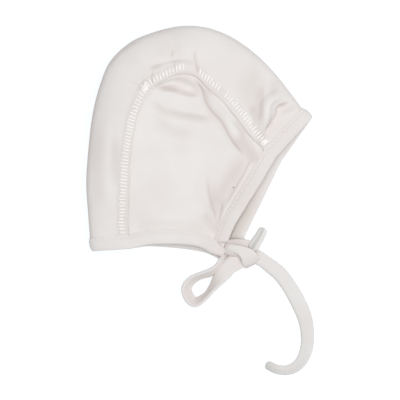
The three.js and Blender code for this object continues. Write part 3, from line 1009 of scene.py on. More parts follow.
# Line of the main crease, from the top seam down to the face binding.
MAIN_CREASE = (
    (-2.8, 41.7), (-0.2, 37.8), (2.8, 33.1), (4.4, 27.2), (6.7, 22.6), (9.7, 18.6),
    (13.7, 14.7), (16.6, 10.7), (19.6, 4.8), (22.9, -0.5), (27.0, -5.6), (31.0, -10.0),
)
PANEL_FOLDS = (
    # Recess below the top seam.
    Stroke(
        ((-31.5, 36.0), (-23.3, 38.6), (-16.7, 38.3), (-10.1, 36.6), (-4.2, 33.8), (1.5, 32.2)),
        -2.0, 5.5, 5.2, 0.2,
    ),
    # Step across the panel below its upper bulge.
    Stroke(
        ((-28.5, 27.5), (-22.0, 20.6), (-14.7, 16.4), (-5.5, 14.2), (3.0, 13.0), (10.5, 11.0)),
        -1.3, 5.0, 12.0, 0.3,
    ),
    # Shallow hollow below that step.
    Stroke(((-28.0, 9.5), (-13.4, 5.4), (2.0, 3.4)), -0.6, 6.0, 8.0),
    # Main crease, from the top seam down to the face binding.
    Stroke(MAIN_CREASE, -0.9, 3.6, 2.0, 0.15),
    # Groove along the seam near the forehead.
    Stroke(((24.0, 15.5), (28.0, 9.6), (32.1, 2.8), (37.5, -7.0)), -0.9, 1.5, 1.5),
    # Long gather that runs to the chin corner.
    Stroke(((4.8, -19.0), (6.0, -30.0), (8.4, -41.0), (10.4, -48.5), (12.6, -56.0)), -1.3, 7.0, 2.0),
    # Short gather beside it.
    Stroke(((13.4, -35.0), (14.8, -42.0), (14.4, -49.0), (11.6, -58.0)), -1.0, 3.5, 1.8),
    # Crease along the face binding.
    Stroke(
        ((36.8, -9.8), (32.8, -15.7), (30.2, -21.0), (24.6, -30.9), (18.3, -42.8)),
        -0.6, 1.4, 1.6, 0.3,
    ),
    # Broad dip of the panel towards the face binding.
    Stroke(((39.4, -7.1), (29.5, -23.0), (19.6, -36.8), (11.7, -53.3)), -2.2, 7.0, 10.0, 0.3),
)
# Painted shade on the upper side panel: darker colour in its recesses, creases, gathers and hollows and
# along the bindings.
PANEL_PAINTED_SHADE = (
    # Recess below the top seam, next to the corner.
    Stroke(((-30.2, 35.4), (-24.3, 35.2), (-17.4, 34.4), (-11.4, 32.8)), 0.3, 4.6, 2.8, 0.25),
    # Lower rim of that recess.
    Stroke(((-27.5, 33.6), (-18.7, 33.0), (-12.1, 31.6), (-5.5, 29.7), (2.0, 29.6)), 0.4, 3.0, 1.9, 0.2),
    # Strip right below the top seam.
    Stroke(((-17.4, 40.4), (-10.8, 40.7), (-4.2, 39.1)), 0.12, 3.5, 3.5),
    # Step across the panel.
    Stroke(
        (
            (-31.6, 27.8), (-26.4, 23.0), (-21.0, 19.6), (-14.0, 17.4),
            (-6.8, 16.4), (1.1, 15.4), (11.0, 13.6),
        ),
        0.27, 3.2, 5.0, 0.2,
    ),
    # Shallow hollow below the step.
    Stroke(((-32.0, 12.5), (-17.4, 6.9), (-1.5, 3.4)), 0.17, 6.0, 7.0, 0.3),
    # Slope between the step and the hollow, at the back.
    Stroke(((-33.0, 22.0), (-24.0, 14.0), (-14.0, 11.0)), 0.12, 6.0, 6.0),
    # Main crease.
    Stroke(MAIN_CREASE, 0.5, 1.6, 1.7, 0.12),
    # Soft sides of the main crease.
    Stroke(MAIN_CREASE, 0.18, 3.6, 5.0, 0.2),
    # Groove along the seam near the forehead.
    Stroke(((22.0, 16.5), (27.5, 8.7), (33.0, 1.0)), 0.32, 3.6, 3.6),
    # Front corner, between the main crease and the face binding.
    Stroke(((24.0, 6.0), (31.5, -4.0), (37.0, -10.5), (41.0, -17.0)), 0.36, 6.0, 6.5, 0.25),
    # Thin line beside the seam.
    Stroke(((3.8, 35.1), (7.1, 31.8), (10.7, 28.2)), 0.4, 0.9, 0.9),
    # Long gather that runs to the chin corner.
    Stroke(((5.4, -21.6), (6.4, -30.9), (8.4, -40.8), (10.4, -47.4), (12.3, -56.0)), 0.32, 1.5, 1.3, 0.3),
    # Soft side of that gather.
    Stroke(((5.7, -24.3), (7.1, -32.2), (9.0, -40.8), (11.0, -48.0), (13.0, -57.3)), 0.17, 5.5, 1.4, 0.3),
    # Short gather beside it.
    Stroke(((14.3, -36.2), (15.3, -43.4), (14.7, -48.7), (11.4, -58.6)), 0.28, 1.4, 1.2, 0.3),
    # Crease along the face binding.
    Stroke(
        ((36.8, -9.8), (32.8, -15.7), (30.2, -21.0), (24.6, -30.9), (18.3, -42.8)),
        0.42, 1.0, 1.0, 0.2,
    ),
    # Broad dip towards the face binding.
    Stroke(
        ((34.1, -5.8), (28.8, -16.4), (21.6, -28.2), (15.0, -40.1), (10.4, -56.0)),
        0.24, 5.0, 11.5, 0.3,
    ),
    # Chin corner.
    Stroke(((1.5, -46.0), (8.0, -53.0), (13.5, -62.0)), 0.22, 5.0, 6.0, 0.3),
    # Strip above the neck binding.
    Stroke(
        ((-44.0, -57.5), (-30.0, -55.2), (-14.0, -55.0), (0.0, -56.6), (9.0, -59.5)),
        0.15, 6.0, 6.0, 0.2,
    ),
)


@dataclass
class UpperSidePanel:
    """Side panel that lies on top, sagging between its seams, with the folds of the soft cloth."""

    steps: int = 208
    under_seam: float = 0.03
    into_binding: float = 0.06
    sag: float = 1.2
    edge_share: float = 0.1
    seam_drop: float = 0.6
    seam_drop_share: float = 0.025
    sewn_share: float = 0.045
    ripple: Ripple = Ripple(11, 0.12, 12.0, 36.0)
    speck_place: tuple[float, float] = (23.1, -30.6)
    cut: tuple[float, float] = (92.0, 104.0)

    def points(self, u: Array, v: Array) -> Array:
        """Middle of the cloth, which runs straight on under the seam and into the bindings.

        Args:
            u: Share from the back seam to the face binding, below 0 and above 1 past the edges.
            v: Share from the neck binding to the top seam, below 0 and above 1 past the edges.

        Returns:
            The points.
        """
        inside_u = np.clip(u, 0.0, 1.0)
        inside_v = np.clip(v, 0.0, 1.0)
        base = PLAN.panel_patch(Side.UPPER, inside_u, inside_v)
        inner_u = PLAN.panel_patch(Side.UPPER, np.clip(inside_u, EDGE_STEP, 1.0 - EDGE_STEP), inside_v)
        inner_v = PLAN.panel_patch(Side.UPPER, inside_u, np.clip(inside_v, EDGE_STEP, 1.0 - EDGE_STEP))
        points = base + (base - inner_u) * (np.abs(u - inside_u) / EDGE_STEP)[..., None]
        points += (base - inner_v) * (np.abs(v - inside_v) / EDGE_STEP)[..., None]
        x, y = points[..., 0], points[..., 1]
        off_bindings = smooth((1.0 - u) / self.edge_share) * smooth(v / self.edge_share)
        off_seam = smooth(u / self.edge_share) * smooth((1.0 - v) / self.edge_share)
        near_seam = np.minimum(inside_u, 1.0 - inside_v)
        free = smooth(near_seam / self.sewn_share)
        points[..., 2] += (stroke_sum(PANEL_FOLDS, x, y) * free - self.sag * off_seam) * off_bindings
        points[..., 2] += self.ripple.height(x, y) * off_bindings * off_seam
        points[..., 2] -= self.seam_drop * smooth(1.0 - near_seam / self.seam_drop_share)
        return points

    def build(self) -> bpy.types.Object:
        """Builds and dresses the panel.

        Returns:
            The dressed piece.
        """
        u = np.linspace(-self.under_seam, 1.0 + self.into_binding, self.steps)
        v = np.linspace(-self.into_binding, 1.0 + self.under_seam, self.steps)
        grid_u, grid_v = np.meshgrid(u, v)
        points = self.points(grid_u, grid_v)
        speck = self._on_cloth(points, self.speck_place)
        shade = stroke_sum(PANEL_PAINTED_SHADE, points[..., 0], points[..., 1])
        piece = cloth_grid("side_cloth_upper", points, self.cut, shade)
        thicken(piece, PLAN.cloth)
        dress(piece, JERSEY.material(speck), Slot.JERSEY, "side_panel_upper")
        return piece

    def _on_cloth(self, points: Array, place: tuple[float, float]) -> Array:
        """Place of the cloth's upper face over a point of the plan.

        Args:
            points: Middle of the cloth.
            place: X and Y of the plan.

        Returns:
            The place in metres of the frame.
        """
        flat = points.reshape(-1, 3)
        nearest = flat[np.argmin(np.hypot(flat[:, 0] - place[0], flat[:, 1] - place[1]))]
        return (nearest + UP * PLAN.cloth / 2 - PLAN_MIDDLE) * MM


@dataclass
class LowerSidePanel:
    """Side panel on the table, flat and lifted only into the bindings."""

    steps: int = 80
    into_binding: float = 0.05
    edge_share: float = 0.1
    cut: tuple[float, float] = (96.0, 104.0)

    def build(self) -> bpy.types.Object:
        """Builds and dresses the panel.

        Returns:
            The dressed piece.
        """
        u = np.linspace(0.0, 1.0 + self.into_binding, self.steps)
        v = np.linspace(-self.into_binding, 1.0, self.steps)
        grid_u, grid_v = np.meshgrid(u, v)
        inside_u = np.clip(grid_u, 0.0, 1.0)
        inside_v = np.clip(grid_v, 0.0, 1.0)
        points = PLAN.panel_patch(Side.LOWER, inside_u, inside_v)
        ahead = points - PLAN.panel_patch(Side.LOWER, np.minimum(inside_u, 1.0 - EDGE_STEP), inside_v)
        below = points - PLAN.panel_patch(Side.LOWER, inside_u, np.maximum(inside_v, EDGE_STEP))
        points = points + ahead * ((grid_u - inside_u) / EDGE_STEP)[..., None]
        points = points + below * ((inside_v - grid_v) / EDGE_STEP)[..., None]
        to_edge = np.minimum(1.0 - inside_u, inside_v)
        lift = smooth(1.0 - to_edge / self.edge_share)
        points[..., 2] = PLAN.cloth / 2 + (PLAN.binding_half - PLAN.cloth / 2) * lift
        piece = cloth_grid("side_cloth_lower", points, self.cut)
        thicken(piece, PLAN.cloth)
        dress(piece, JERSEY.material(), Slot.JERSEY, "side_panel_lower")
        return piece


class Stations(NamedTuple):
    """Places on a binding's inner line, with the outward way, the share of full width and painted shade.
    """

    place: Array
    out: Array
    width: Array
    shade: Array

    def up(self) -> Array:
        """Way out of the tape's upper face at each station."""
        return unit(np.cross(np.gradient(self.place, axis=0), self.out))


def outward(curve: Callable[[Array], Array], share: Array) -> Array:
    """Level outward way of an edge, on the right hand of its run.

    Args:
        curve: Function from shares to points of the edge.
        share: Places along the edge.

    Returns:
        The ways, each of length 1.
    """
    run = curve(np.minimum(1.0, share + EDGE_STEP)) - curve(np.maximum(0.0, share - EDGE_STEP))
    return unit(np.stack((run[..., 1], -run[..., 0], np.zeros(run.shape[:-1])), axis=-1))


def join_stations(*runs: Stations) -> Stations:
    """One run after another."""
    return Stations(*(np.concatenate(columns) for columns in zip(*runs)))


def edge_stations(edge: Callable[[Side, Array], Array], side: Side, shares: Array) -> Stations:
    """Stations along one edge of a side panel.

    Args:
        edge: Function from side and shares to points of the edge.
        side: Which of the two panels.
        shares: Places along the edge.

    Returns:
        The stations, at full width and without painted shade.
    """
    place = edge(side, shares)
    plain = np.zeros(len(shares))
    return Stations(place, outward(lambda at: edge(side, at), shares), plain + 1.0, plain)


def crown_end_stations(
    share: float, near_out: Array, fold_out: Array, far_out: Array, count: int
) -> Stations:
    """Stations over an end of the crown strip.

    Args:
        share: End of the strip, 0 at the forehead and 1 at the nape.
        near_out: Outward way at the upper seam.
        fold_out: Outward way at the folded edge.
        far_out: Outward way at the lower seam.
        count: Stations on each half.

    Returns:
        The stations from the upper seam over the fold to the lower seam, both seams left out.
    """
    part = np.linspace(0.0, 1.0, count + 1)
    at = np.full(count + 1, share)
    upper = PLAN.crown_point(Side.UPPER, at, (1.0 - part) * math.pi / 2)
    lower = PLAN.crown_point(Side.LOWER, at, part * math.pi / 2)
    upper_out = unit(blend(near_out[None, :], fold_out[None, :], smooth(part)))
    lower_out = unit(blend(fold_out[None, :], far_out[None, :], smooth(part)))
    place = np.concatenate((upper[1:], lower[1:-1]))
    plain = np.zeros(2 * count - 1)
    return Stations(place, np.concatenate((upper_out[1:], lower_out[1:-1])), plain + 1.0, plain)


def evened(rows: Array, reach: float, spacing: float) -> Array:
    """Running mean of rows.

    Args:
        rows: Rows of numbers, evenly spaced.
        reach: Reach of the mean to each side in millimetres.
        spacing: Distance between rows in millimetres.

    Returns:
        The evened rows.
    """
    half = max(1, round(reach / spacing))
    padded = np.pad(rows, ((half, half), (0, 0)), mode="edge")
    window = np.ones(2 * half + 1) / (2 * half + 1)
    columns = [np.convolve(column, window, mode="valid") for column in padded.T]
    return np.stack(columns, axis=1)


def spread_stations(stations: Stations, spacing: float) -> Stations:
    """Stations at an even spacing along the same run.

    Args:
        stations: The run of a binding.
        spacing: Distance between neighbours in millimetres.

    Returns:
        The new stations.
    """
    travelled = travelled_along(stations.place)
    at = np.linspace(0.0, travelled[-1], max(2, round(travelled[-1] / spacing)))
    place = np.stack([np.interp(at, travelled, stations.place[:, k]) for k in range(3)], axis=1)
    out = np.stack([np.interp(at, travelled, stations.out[:, k]) for k in range(3)], axis=1)
    width, shade = (np.interp(at, travelled, column) for column in (stations.width, stations.shade))
    return Stations(place, unit(evened(out, EVEN_REACH, spacing)), width, shade)


@dataclass
class FoldedTape:
    """Binding of folded tape: two lips, a rounded fold and a row of topstitching near the lips."""

    full_width: float = 9.0
    half: float = 1.6
    lip_half: float = 0.82
    lip_reach: float = 3.0
    fold_power: int = 5
    wall: float = 0.6
    profile_steps: int = 40
    spacing: float = 0.8
    groove_at: float = 1.5
    groove_depth: float = 0.3
    groove_half: float = 0.7
    pucker: float = 0.02
    pucker_length: float = 5.5
    # Painted shade fades from the lips towards the fold.
    shade_fade: float = 0.85
    stitch_spacing: float = 0.4

    def profile(self) -> tuple[Array, Array]:
        """Middle of the tape's section, from the upper lip round to the lower lip.

        Returns:
            The outward distances and the heights.
        """
        turn = np.linspace(0.0, math.pi, self.profile_steps)
        out = 0.5 * self.full_width * (1.0 - np.cos(2.0 * np.minimum(turn, math.pi - turn)))
        share = out / self.full_width
        body = self.half * np.sqrt(np.clip(1.0 - share**self.fold_power, 0.0, 1.0))
        lip = self.lip_half + (body - self.lip_half) * smooth(out / self.lip_reach)
        height = np.where(out < self.lip_reach, lip, body)
        groove = self.groove_depth * np.exp(-(((out - self.groove_at) / self.groove_half) ** 2))
        return out, np.where(turn < math.pi / 2, height - groove, groove - height)

    def build(self, name: str, stations: Stations, node: str, finish: ClothFinish) -> bpy.types.Object:
        """Lofts the tape along its stations.

        Args:
            name: Name of the piece.
            stations: The run of the binding.
            node: Solid that it stands for.
            finish: Finish of the tape.

        Returns:
            The dressed piece.
        """
        spread = spread_stations(stations, self.spacing)
        out, height = self.profile()
        up = spread.up()
        along = np.arange(len(up)) * self.spacing
        wave = self.pucker * np.sin(along * math.tau / self.pucker_length)
        puffed = np.sin(math.pi * out / self.full_width)
        rise = height[None, :] * (1.0 + wave[:, None] * puffed[None, :])
        reach = out[None, :] * spread.width[:, None]
        points = (
            spread.place[:, None, :]
            + reach[..., None] * spread.out[:, None, :]
            + rise[..., None] * up[:, None, :]
        )
        shade = spread.shade[:, None] * (1.0 - self.shade_fade * out / self.full_width)[None, :]
        piece = cloth_grid(name, points, (2.0 * self.full_width, self.spacing * len(up)), shade)
        thicken(piece, self.wall)
        return dress(piece, finish.material(), Slot.TAPE, node)

    def stitch_run(self, stations: Stations, outer: float) -> tuple[Array, Array]:
        """Line of the topstitching on the tape's outer face and the way out of the cloth there.

        Args:
            stations: The run of the binding.
            outer: 1 where the cap's outside is the way up of the stations, -1 where it is the way down.

        Returns:
            The line and the way out.
        """
        spread = spread_stations(stations, self.stitch_spacing)
        up = outer * spread.up()
        height = 0.5 * (self.lip_half + self.half) - self.groove_depth + 0.5 * self.wall
        line = spread.place + self.groove_at * spread.out * spread.width[:, None] + height * up
        return line, up


# Lines of the tapes from the chin corners to the knot.
FACE_LEAD = ((10.2, -66.9, 8.0), (12.0, -70.4, 6.8), (15.6, -72.8, 6.2), (20.0, -73.6, 5.8))
NEAR_LEAD = ((13.0, -67.4, 9.6), (15.6, -69.8, 8.6), (18.2, -71.5, 7.2))
FAR_LEAD = ((20.8, -71.0, 2.2), (24.2, -72.2, 4.0), (27.4, -72.4, 6.0))


@dataclass
class Bindings:
    """The face binding and the neck binding, which runs on into the knot at both chin corners."""

    tape: FoldedTape = field(default_factory=FoldedTape)
    face_start: float = 0.03
    edge_stations: int = 60
    crown_stations: int = 40
    face_lead_from: float = 0.15
    face_lead_stations: int = 20
    face_lead_width: float = 0.8
    lead_stations: int = 16
    lead_overlap: float = 0.1
    lead_end_width: float = 0.6
    nape_out: tuple[float, float, float] = (0.22, -1.0, 0.0)
    far_tilt: float = 0.32
    far_tilt_share: float = 0.6
    far_shift: float = -1.5
    far_widening: float = 0.24
    # Painted shade on the neck tape, on the near face tape towards the chin and on the turned-up far face
    # tape in the gap below the near one.
    neck_shade: float = 0.12
    near_shade: float = 0.2
    near_shade_run: float = 1.6
    far_shade: float = 0.45
    far_shade_from: float = 0.35
    far_shade_run: float = 0.3

    def face_stations(self) -> Stations:
        """Run of the face binding.

        Returns:
            The stations from the upper chin corner over the forehead to the lower chin corner.
        """
        shares = np.linspace(self.face_start, 1.0, self.edge_stations)
        near = edge_stations(PLAN.face_edge, Side.UPPER, shares)
        fading = smooth(np.linspace(self.near_shade_run, 0.0, len(shares)))
        near = near._replace(shade=self.near_shade * fading)
        far = self._turned_up(edge_stations(PLAN.face_edge, Side.LOWER, shares[::-1]))
        front = PLAN.fold_line(np.zeros(1))[0] - PLAN.seam(Side.UPPER, np.zeros(1))[0]
        fold_out = unit(np.array((front[1], -front[0], 0.0)))
        over = crown_end_stations(0.0, near.out[-1], fold_out, far.out[0], self.crown_stations)
        return join_stations(self.face_lead(), near, over, far)

    def _turned_up(self, far: Stations) -> Stations:
        """Turns the tape of the lower face edge up from the table towards the chin.

        Args:
            far: Stations of the lower face edge, from the forehead to the chin.

        Returns:
            The turned stations with their painted shade.
        """
        along = np.linspace(0.0, 1.0, len(far.width))
        turned = smooth(along / self.far_tilt_share)
        place = far.place + far.out * (self.far_shift * turned)[:, None]
        out = unit(far.out + UP * (self.far_tilt * turned)[:, None])
        shade = self.far_shade * smooth((along - self.far_shade_from) / self.far_shade_run)
        return Stations(place, out, far.width + self.far_widening * turned, shade)

    def face_lead(self) -> Stations:
        """End of the face binding, drawn in under the neck binding.

        Returns:
            The stations from the knot to the upper chin corner.
        """
        start = PLAN.face_edge(Side.UPPER, np.array((self.face_lead_from, self.face_start)))
        line = np.vstack((FACE_LEAD[::-1], start[::-1]))
        corner = (len(line) - 2) / (len(line) - 1)
        shares = np.linspace(0.0, corner, self.face_lead_stations)[:-1]
        out = outward(lambda at: spline(line, at), shares)
        widening = smooth(shares / shares[-1])
        width = self.face_lead_width + (1.0 - self.face_lead_width) * widening
        return Stations(spline(line, shares), out, width, np.full(len(shares), self.near_shade))

    def lead(self, rows: Sequence[Sequence[float]], side: Side) -> Stations:
        """Tape of the neck binding from a chin corner to the knot, narrowing as it is drawn in.

        Args:
            rows: Places of the tape past the corner.
            side: Side of the cap that it comes from.

        Returns:
            The stations from the corner to the knot.
        """
        start = PLAN.neck_edge(side, np.array((1.0 - self.lead_overlap, 1.0)))
        line = np.vstack((start, rows))
        corner = 1.0 / (len(line) - 1)
        shares = np.linspace(corner, 1.0, self.lead_stations)[1:]
        out = outward(lambda at: spline(line, at), shares)
        width = 1.0 + (self.lead_end_width - 1.0) * smooth((shares - corner) / (1.0 - corner))
        return Stations(spline(line, shares), out, width, np.full(len(shares), self.neck_shade))

    def neck_stations(self) -> Stations:
        """Run of the neck binding.

        Returns:
            The stations from the upper lead round the nape to the lower lead.
        """
        shares = np.linspace(0.0, 1.0, self.edge_stations)
        near_lead = self.lead(NEAR_LEAD, Side.UPPER)
        near = edge_stations(PLAN.neck_edge, Side.UPPER, shares[::-1])
        near = near._replace(shade=near.shade + self.neck_shade)
        far = edge_stations(PLAN.neck_edge, Side.LOWER, shares)
        fold_out = unit(np.array(self.nape_out))
        over = crown_end_stations(1.0, near.out[-1], fold_out, far.out[0], self.crown_stations)
        turned = Stations(*(column[::-1] for column in near_lead))
        return join_stations(turned, near, over, far, self.lead(FAR_LEAD, Side.LOWER))

    def build(self) -> list[bpy.types.Object]:
        """Builds both bindings.

        Returns:
            The face tape and the neck tape.
        """
        face = self.tape.build("face_tape", self.face_stations(), "face_binding", FACE_TAPE)
        neck = self.tape.build("neck_tape", self.neck_stations(), "neck_binding", TAPE)
        return [face, neck]


@dataclass
class ThreadStitches:
    """Short threads laid on the cloth, each a slim closed capsule that follows its own line."""

    radius: float
    finish: ClothFinish = THREAD
    flatness: float = 0.5
    blunt: float = 0.96
    sides: int = 6

    def build(self, name: str, lines: Array, ups: Array) -> bpy.types.Object:
        """Joins all threads into one mesh.

        Args:
            name: Name of the piece.
            lines: Threads, rings and coordinates: the middle line of each thread.
            ups: Way out of the cloth at each thread.

        Returns:
            The dressed piece.
        """
        rings = lines.shape[1]
        along = unit(np.gradient(lines, axis=1))
        across = unit(np.cross(ups[:, None, :], along))
        out = np.cross(along, across)
        to_ends = np.linspace(-self.blunt, self.blunt, rings)
        taper = np.sqrt(np.clip(1.0 - to_ends**4, 0.0, 1.0)) * self.radius
        turn = np.arange(self.sides) * math.tau / self.sides
        ring = (
            across[:, :, None, :] * np.cos(turn)[None, None, :, None]
            + out[:, :, None, :] * self.flatness * np.sin(turn)[None, None, :, None]
        )
        points = lines[:, :, None, :] + ring * taper[None, :, None, None]
        places = (points - PLAN_MIDDLE) * MM
        pattern = self._pattern(rings)
        piece = join_pieces([self._copy(pattern, thread_places) for thread_places in places], name)
        bpy.data.meshes.remove(pattern.data)
        bpy.ops.object.shade_smooth()
        return dress(piece, self.finish.material(), Slot.JERSEY)

    def _pattern(self, rings: int) -> bpy.types.Object:
        """Straight thread that all others are copied from.

        Args:
            rings: Rings of points along the thread, both ends included.

        Returns:
            A closed cylinder with its rings 1 apart, the lowest of them at 0.
        """
        bpy.ops.object.select_all(action="DESELECT")
        bpy.ops.mesh.primitive_cylinder_add(vertices=self.sides, radius=1.0, depth=rings - 1.0)
        pattern = bpy.context.object
        size_map(pattern, (math.tau * self.radius, math.tau * self.radius))
        bpy.ops.object.mode_set(mode="EDIT")
        bpy.ops.mesh.select_mode(type="EDGE")
        bpy.ops.mesh.select_all(action="DESELECT")
        bpy.ops.object.mode_set(mode="OBJECT")
        # The long edges run from one end to the other.
        for edge in pattern.data.edges:
            first, second = (pattern.data.vertices[index].co for index in edge.vertices)
            edge.select = abs(first.z - second.z) > 0.5
        bpy.ops.object.mode_set(mode="EDIT")
        bpy.ops.mesh.subdivide(number_cuts=rings - 2)
        bpy.ops.object.mode_set(mode="OBJECT")
        for vertex in pattern.data.vertices:
            vertex.co.z += 0.5 * (rings - 1.0)
        return pattern

    def _copy(self, pattern: bpy.types.Object, places: Array) -> bpy.types.Object:
        """Thread of its own mesh, with each point of the pattern moved to its place.

        Args:
            pattern: The straight thread.
            places: Rings, sides and coordinates of the thread in metres.

        Returns:
            The new thread.
        """
        thread = pattern.copy()
        thread.data = pattern.data.copy()
        bpy.context.scene.collection.objects.link(thread)
        for vertex in thread.data.vertices:
            side = round(math.atan2(-vertex.co.x, vertex.co.y) / math.tau * self.sides) % self.sides
            vertex.co = places[round(vertex.co.z), side]
        return thread


# Distance of the bars from the seam, from forehead to nape.
BAR_OFFSETS = (2.0, 2.4, 2.8, 2.8, 2.4, 2.0, 1.6, 1.2, 0.8, 0.8, 0.8, 0.8, 0.9, 1.0, 2.4, 1.6)
# Places of the seam without bars: X, Y and reach.
BARE_PLACES = ((-5.3, 43.4, 4.2), (13.4, 27.8, 1.4))


@dataclass(frozen=True)
class StitchBunch:
    """Crossing stitches where a seam turns or ends."""

    share: float
    reach: float
    count: int


BUNCHES = (StitchBunch(0.582, 0.018, 15), StitchBunch(0.016, 0.014, 5))


@dataclass
class LadderSeam:
    """Ladder stitches across the band of each flat seam."""

    crown: CrownPanel
    pitch: float = 2.15
    bar_length: float = 5.2
    bar_radius: float = 0.5
    length_spread: float = 0.12
    offset_spread: float = 0.15
    slant: float = 0.00125
    bunch_start: tuple[float, float] = (0.8, 4.0)
    bunch_end: tuple[float, float] = (4.0, 8.0)
    upper_lift: float = 0.1
    lower_lift: float = 0.5
    lower_offset: float = 0.8
    rings: int = 5
    seed: int = 23
    end_clear: float = 0.006

    def upper_lines(self) -> tuple[Array, Array]:
        """Bars of the upper seam.

        Returns:
            The middle lines of the bars and the way out of the cloth at each.
        """
        draw = np.random.default_rng(self.seed)
        shares = spaced_shares(lambda at: PLAN.seam(Side.UPPER, at), self.pitch)
        shares = shares[(shares > self.end_clear) & (shares < 1.0 - self.end_clear)]
        offset = spline(np.array(BAR_OFFSETS)[:, None], shares)[:, 0]
        offset = offset + draw.normal(0.0, self.offset_spread, len(shares))
        lean = draw.normal(0.0, self.slant, len(shares))
        kept = self._has_bar(shares)
        shares, offset, lean = shares[kept], offset[kept], lean[kept]
        length = self.bar_length * (1.0 + draw.normal(0.0, self.length_spread, len(shares)))
        start_share = shares - 0.5 * lean
        start_distance = offset
        end_share = shares + 0.5 * lean
        end_distance = offset + length
        for bunch in BUNCHES:
            spread = draw.uniform(-bunch.reach, bunch.reach, (2, bunch.count))
            start_share = np.append(start_share, bunch.share + spread[0])
            end_share = np.append(end_share, bunch.share + 0.5 * (spread[0] + spread[1]))
            start_distance = np.append(start_distance, draw.uniform(*self.bunch_start, bunch.count))
            end_distance = np.append(end_distance, draw.uniform(*self.bunch_end, bunch.count))
        part = np.linspace(0.0, 1.0, self.rings)[None, :]
        distance = start_distance[:, None] * (1.0 - part) + end_distance[:, None] * part
        share = np.clip(start_share[:, None] * (1.0 - part) + end_share[:, None] * part, 0.0, 1.0)
        points = self.crown.upper_points(share, PLAN.seam_distance_turn(share, distance))
        points[..., 2] += PLAN.cloth / 2 + self.upper_lift * self.bar_radius
        return points, np.tile(UP, (len(points), 1))

    def _has_bar(self, shares: Array) -> Array:
        """Leaves out the bars where the band is puffed or a stitch has come loose.

        Args:
            shares: Places along the upper seam.

        Returns:
            Whether a bar is drawn at each place.
        """
        seam = PLAN.seam(Side.UPPER, shares)
        kept = np.ones(len(shares), bool)
        for x, y, reach in BARE_PLACES:
            kept &= np.hypot(seam[:, 0] - x, seam[:, 1] - y) > reach
        return kept

    def lower_lines(self) -> tuple[Array, Array]:
        """Bars of the lower seam, which faces the table.

        Returns:
            The middle lines of the bars and the way out of the cloth at each.
        """
        shares = spaced_shares(lambda at: PLAN.seam(Side.LOWER, at), self.pitch)
        shares = shares[(shares > self.end_clear) & (shares < 1.0 - self.end_clear)]
        seam = PLAN.seam(Side.LOWER, shares)
        fold = PLAN.fold_line(shares)
        inward = unit((fold - seam) * np.array((1.0, 1.0, 0.0)))
        part = np.linspace(0.0, 1.0, self.rings)[None, :, None]
        points = seam[:, None, :] + inward[:, None, :] * (self.lower_offset + self.bar_length * part)
        points[..., 2] = self.lower_lift * self.bar_radius
        return points, np.tile(-UP, (len(shares), 1))

    def build(self) -> list[bpy.types.Object]:
        """Builds the bars of both seams.

        Returns:
            The bars of the upper seam and those of the lower one, each as one piece.
        """
        thread = ThreadStitches(self.bar_radius)
        return [
            thread.build("ladder_stitches_upper", *self.upper_lines()),
            thread.build("ladder_stitches_lower", *self.lower_lines()),
        ]


@dataclass
class Topstitching:
    """Small straight stitches along the lips of the bindings."""

    stitch: float = 2.1
    pitch: float = 2.9
    face_radius: float = 0.3
    neck_radius: float = 0.22
    rings: int = 4

    def lines(self, run: Array, ups: Array) -> tuple[Array, Array]:
        """Cuts a run of topstitching into its stitches.

        Args:
            run: Line of the topstitching.
            ups: Way out of the cloth at each point of the line.

        Returns:
            The middle lines of the stitches and the way out of the cloth at each.
        """
        travelled = travelled_along(run)
        starts = np.arange(self.pitch, travelled[-1] - self.pitch, self.pitch)
        at = starts[:, None] + self.stitch * np.linspace(0.0, 1.0, self.rings)[None, :]
        points = np.stack([np.interp(at, travelled, run[:, k]) for k in range(3)], axis=-1)
        out = np.stack([np.interp(starts, travelled, ups[:, k]) for k in range(3)], axis=-1)
        return points, unit(out)

    def build(self, bindings: Bindings) -> list[bpy.types.Object]:
        """Builds the topstitching of both bindings.

        Args:
            bindings: The bindings that it is sewn on.

        Returns:
            The stitches of the face binding and those of the neck binding, each as one piece.
        """
        face_run = bindings.tape.stitch_run(bindings.face_stations(), -1.0)
        neck_run = bindings.tape.stitch_run(bindings.neck_stations(), 1.0)
        face_thread = ThreadStitches(self.face_radius)
        neck_thread = ThreadStitches(self.neck_radius, SOFT_THREAD)
        return [
            face_thread.build("face_topstitches", *self.lines(*face_run)),
            neck_thread.build("neck_topstitches", *self.lines(*neck_run)),
        ]


# Long free end, from the knot outwards.
TAIL_ROWS = (
    TieRow(35.5, -73.4, 5.0, 0, 7.4),
    TieRow(39.0, -76.4, 5.2, 0, 9.4),
    TieRow(43.0, -79.0, 4.8, 0, 8.9),
    TieRow(47.7, -82.6, 3.2, 0, 9.4),
    TieRow(53.7, -87.5, 1.0, 0, 9.8),
    TieRow(59.8, -95.4, 0.1, 3, 9.8),
    TieRow(65.7, -105.6, 0, 8, 10.2),
    TieRow(70.4, -116.6, 0, 14, 9.8),
    TieRow(72.2, -127.5, 0, 22, 9.1),
    TieRow(71.4, -138.0, 0, 30, 9.0),
    TieRow(67.2, -146.6, 0, 36, 8.4),
    TieRow(60.5, -151.0, 0, 42, 7.8),
    TieRow(52.6, -151.0, 0, 46, 7.4),
    TieRow(44.6, -147.4, 0, 46, 7.0),
)
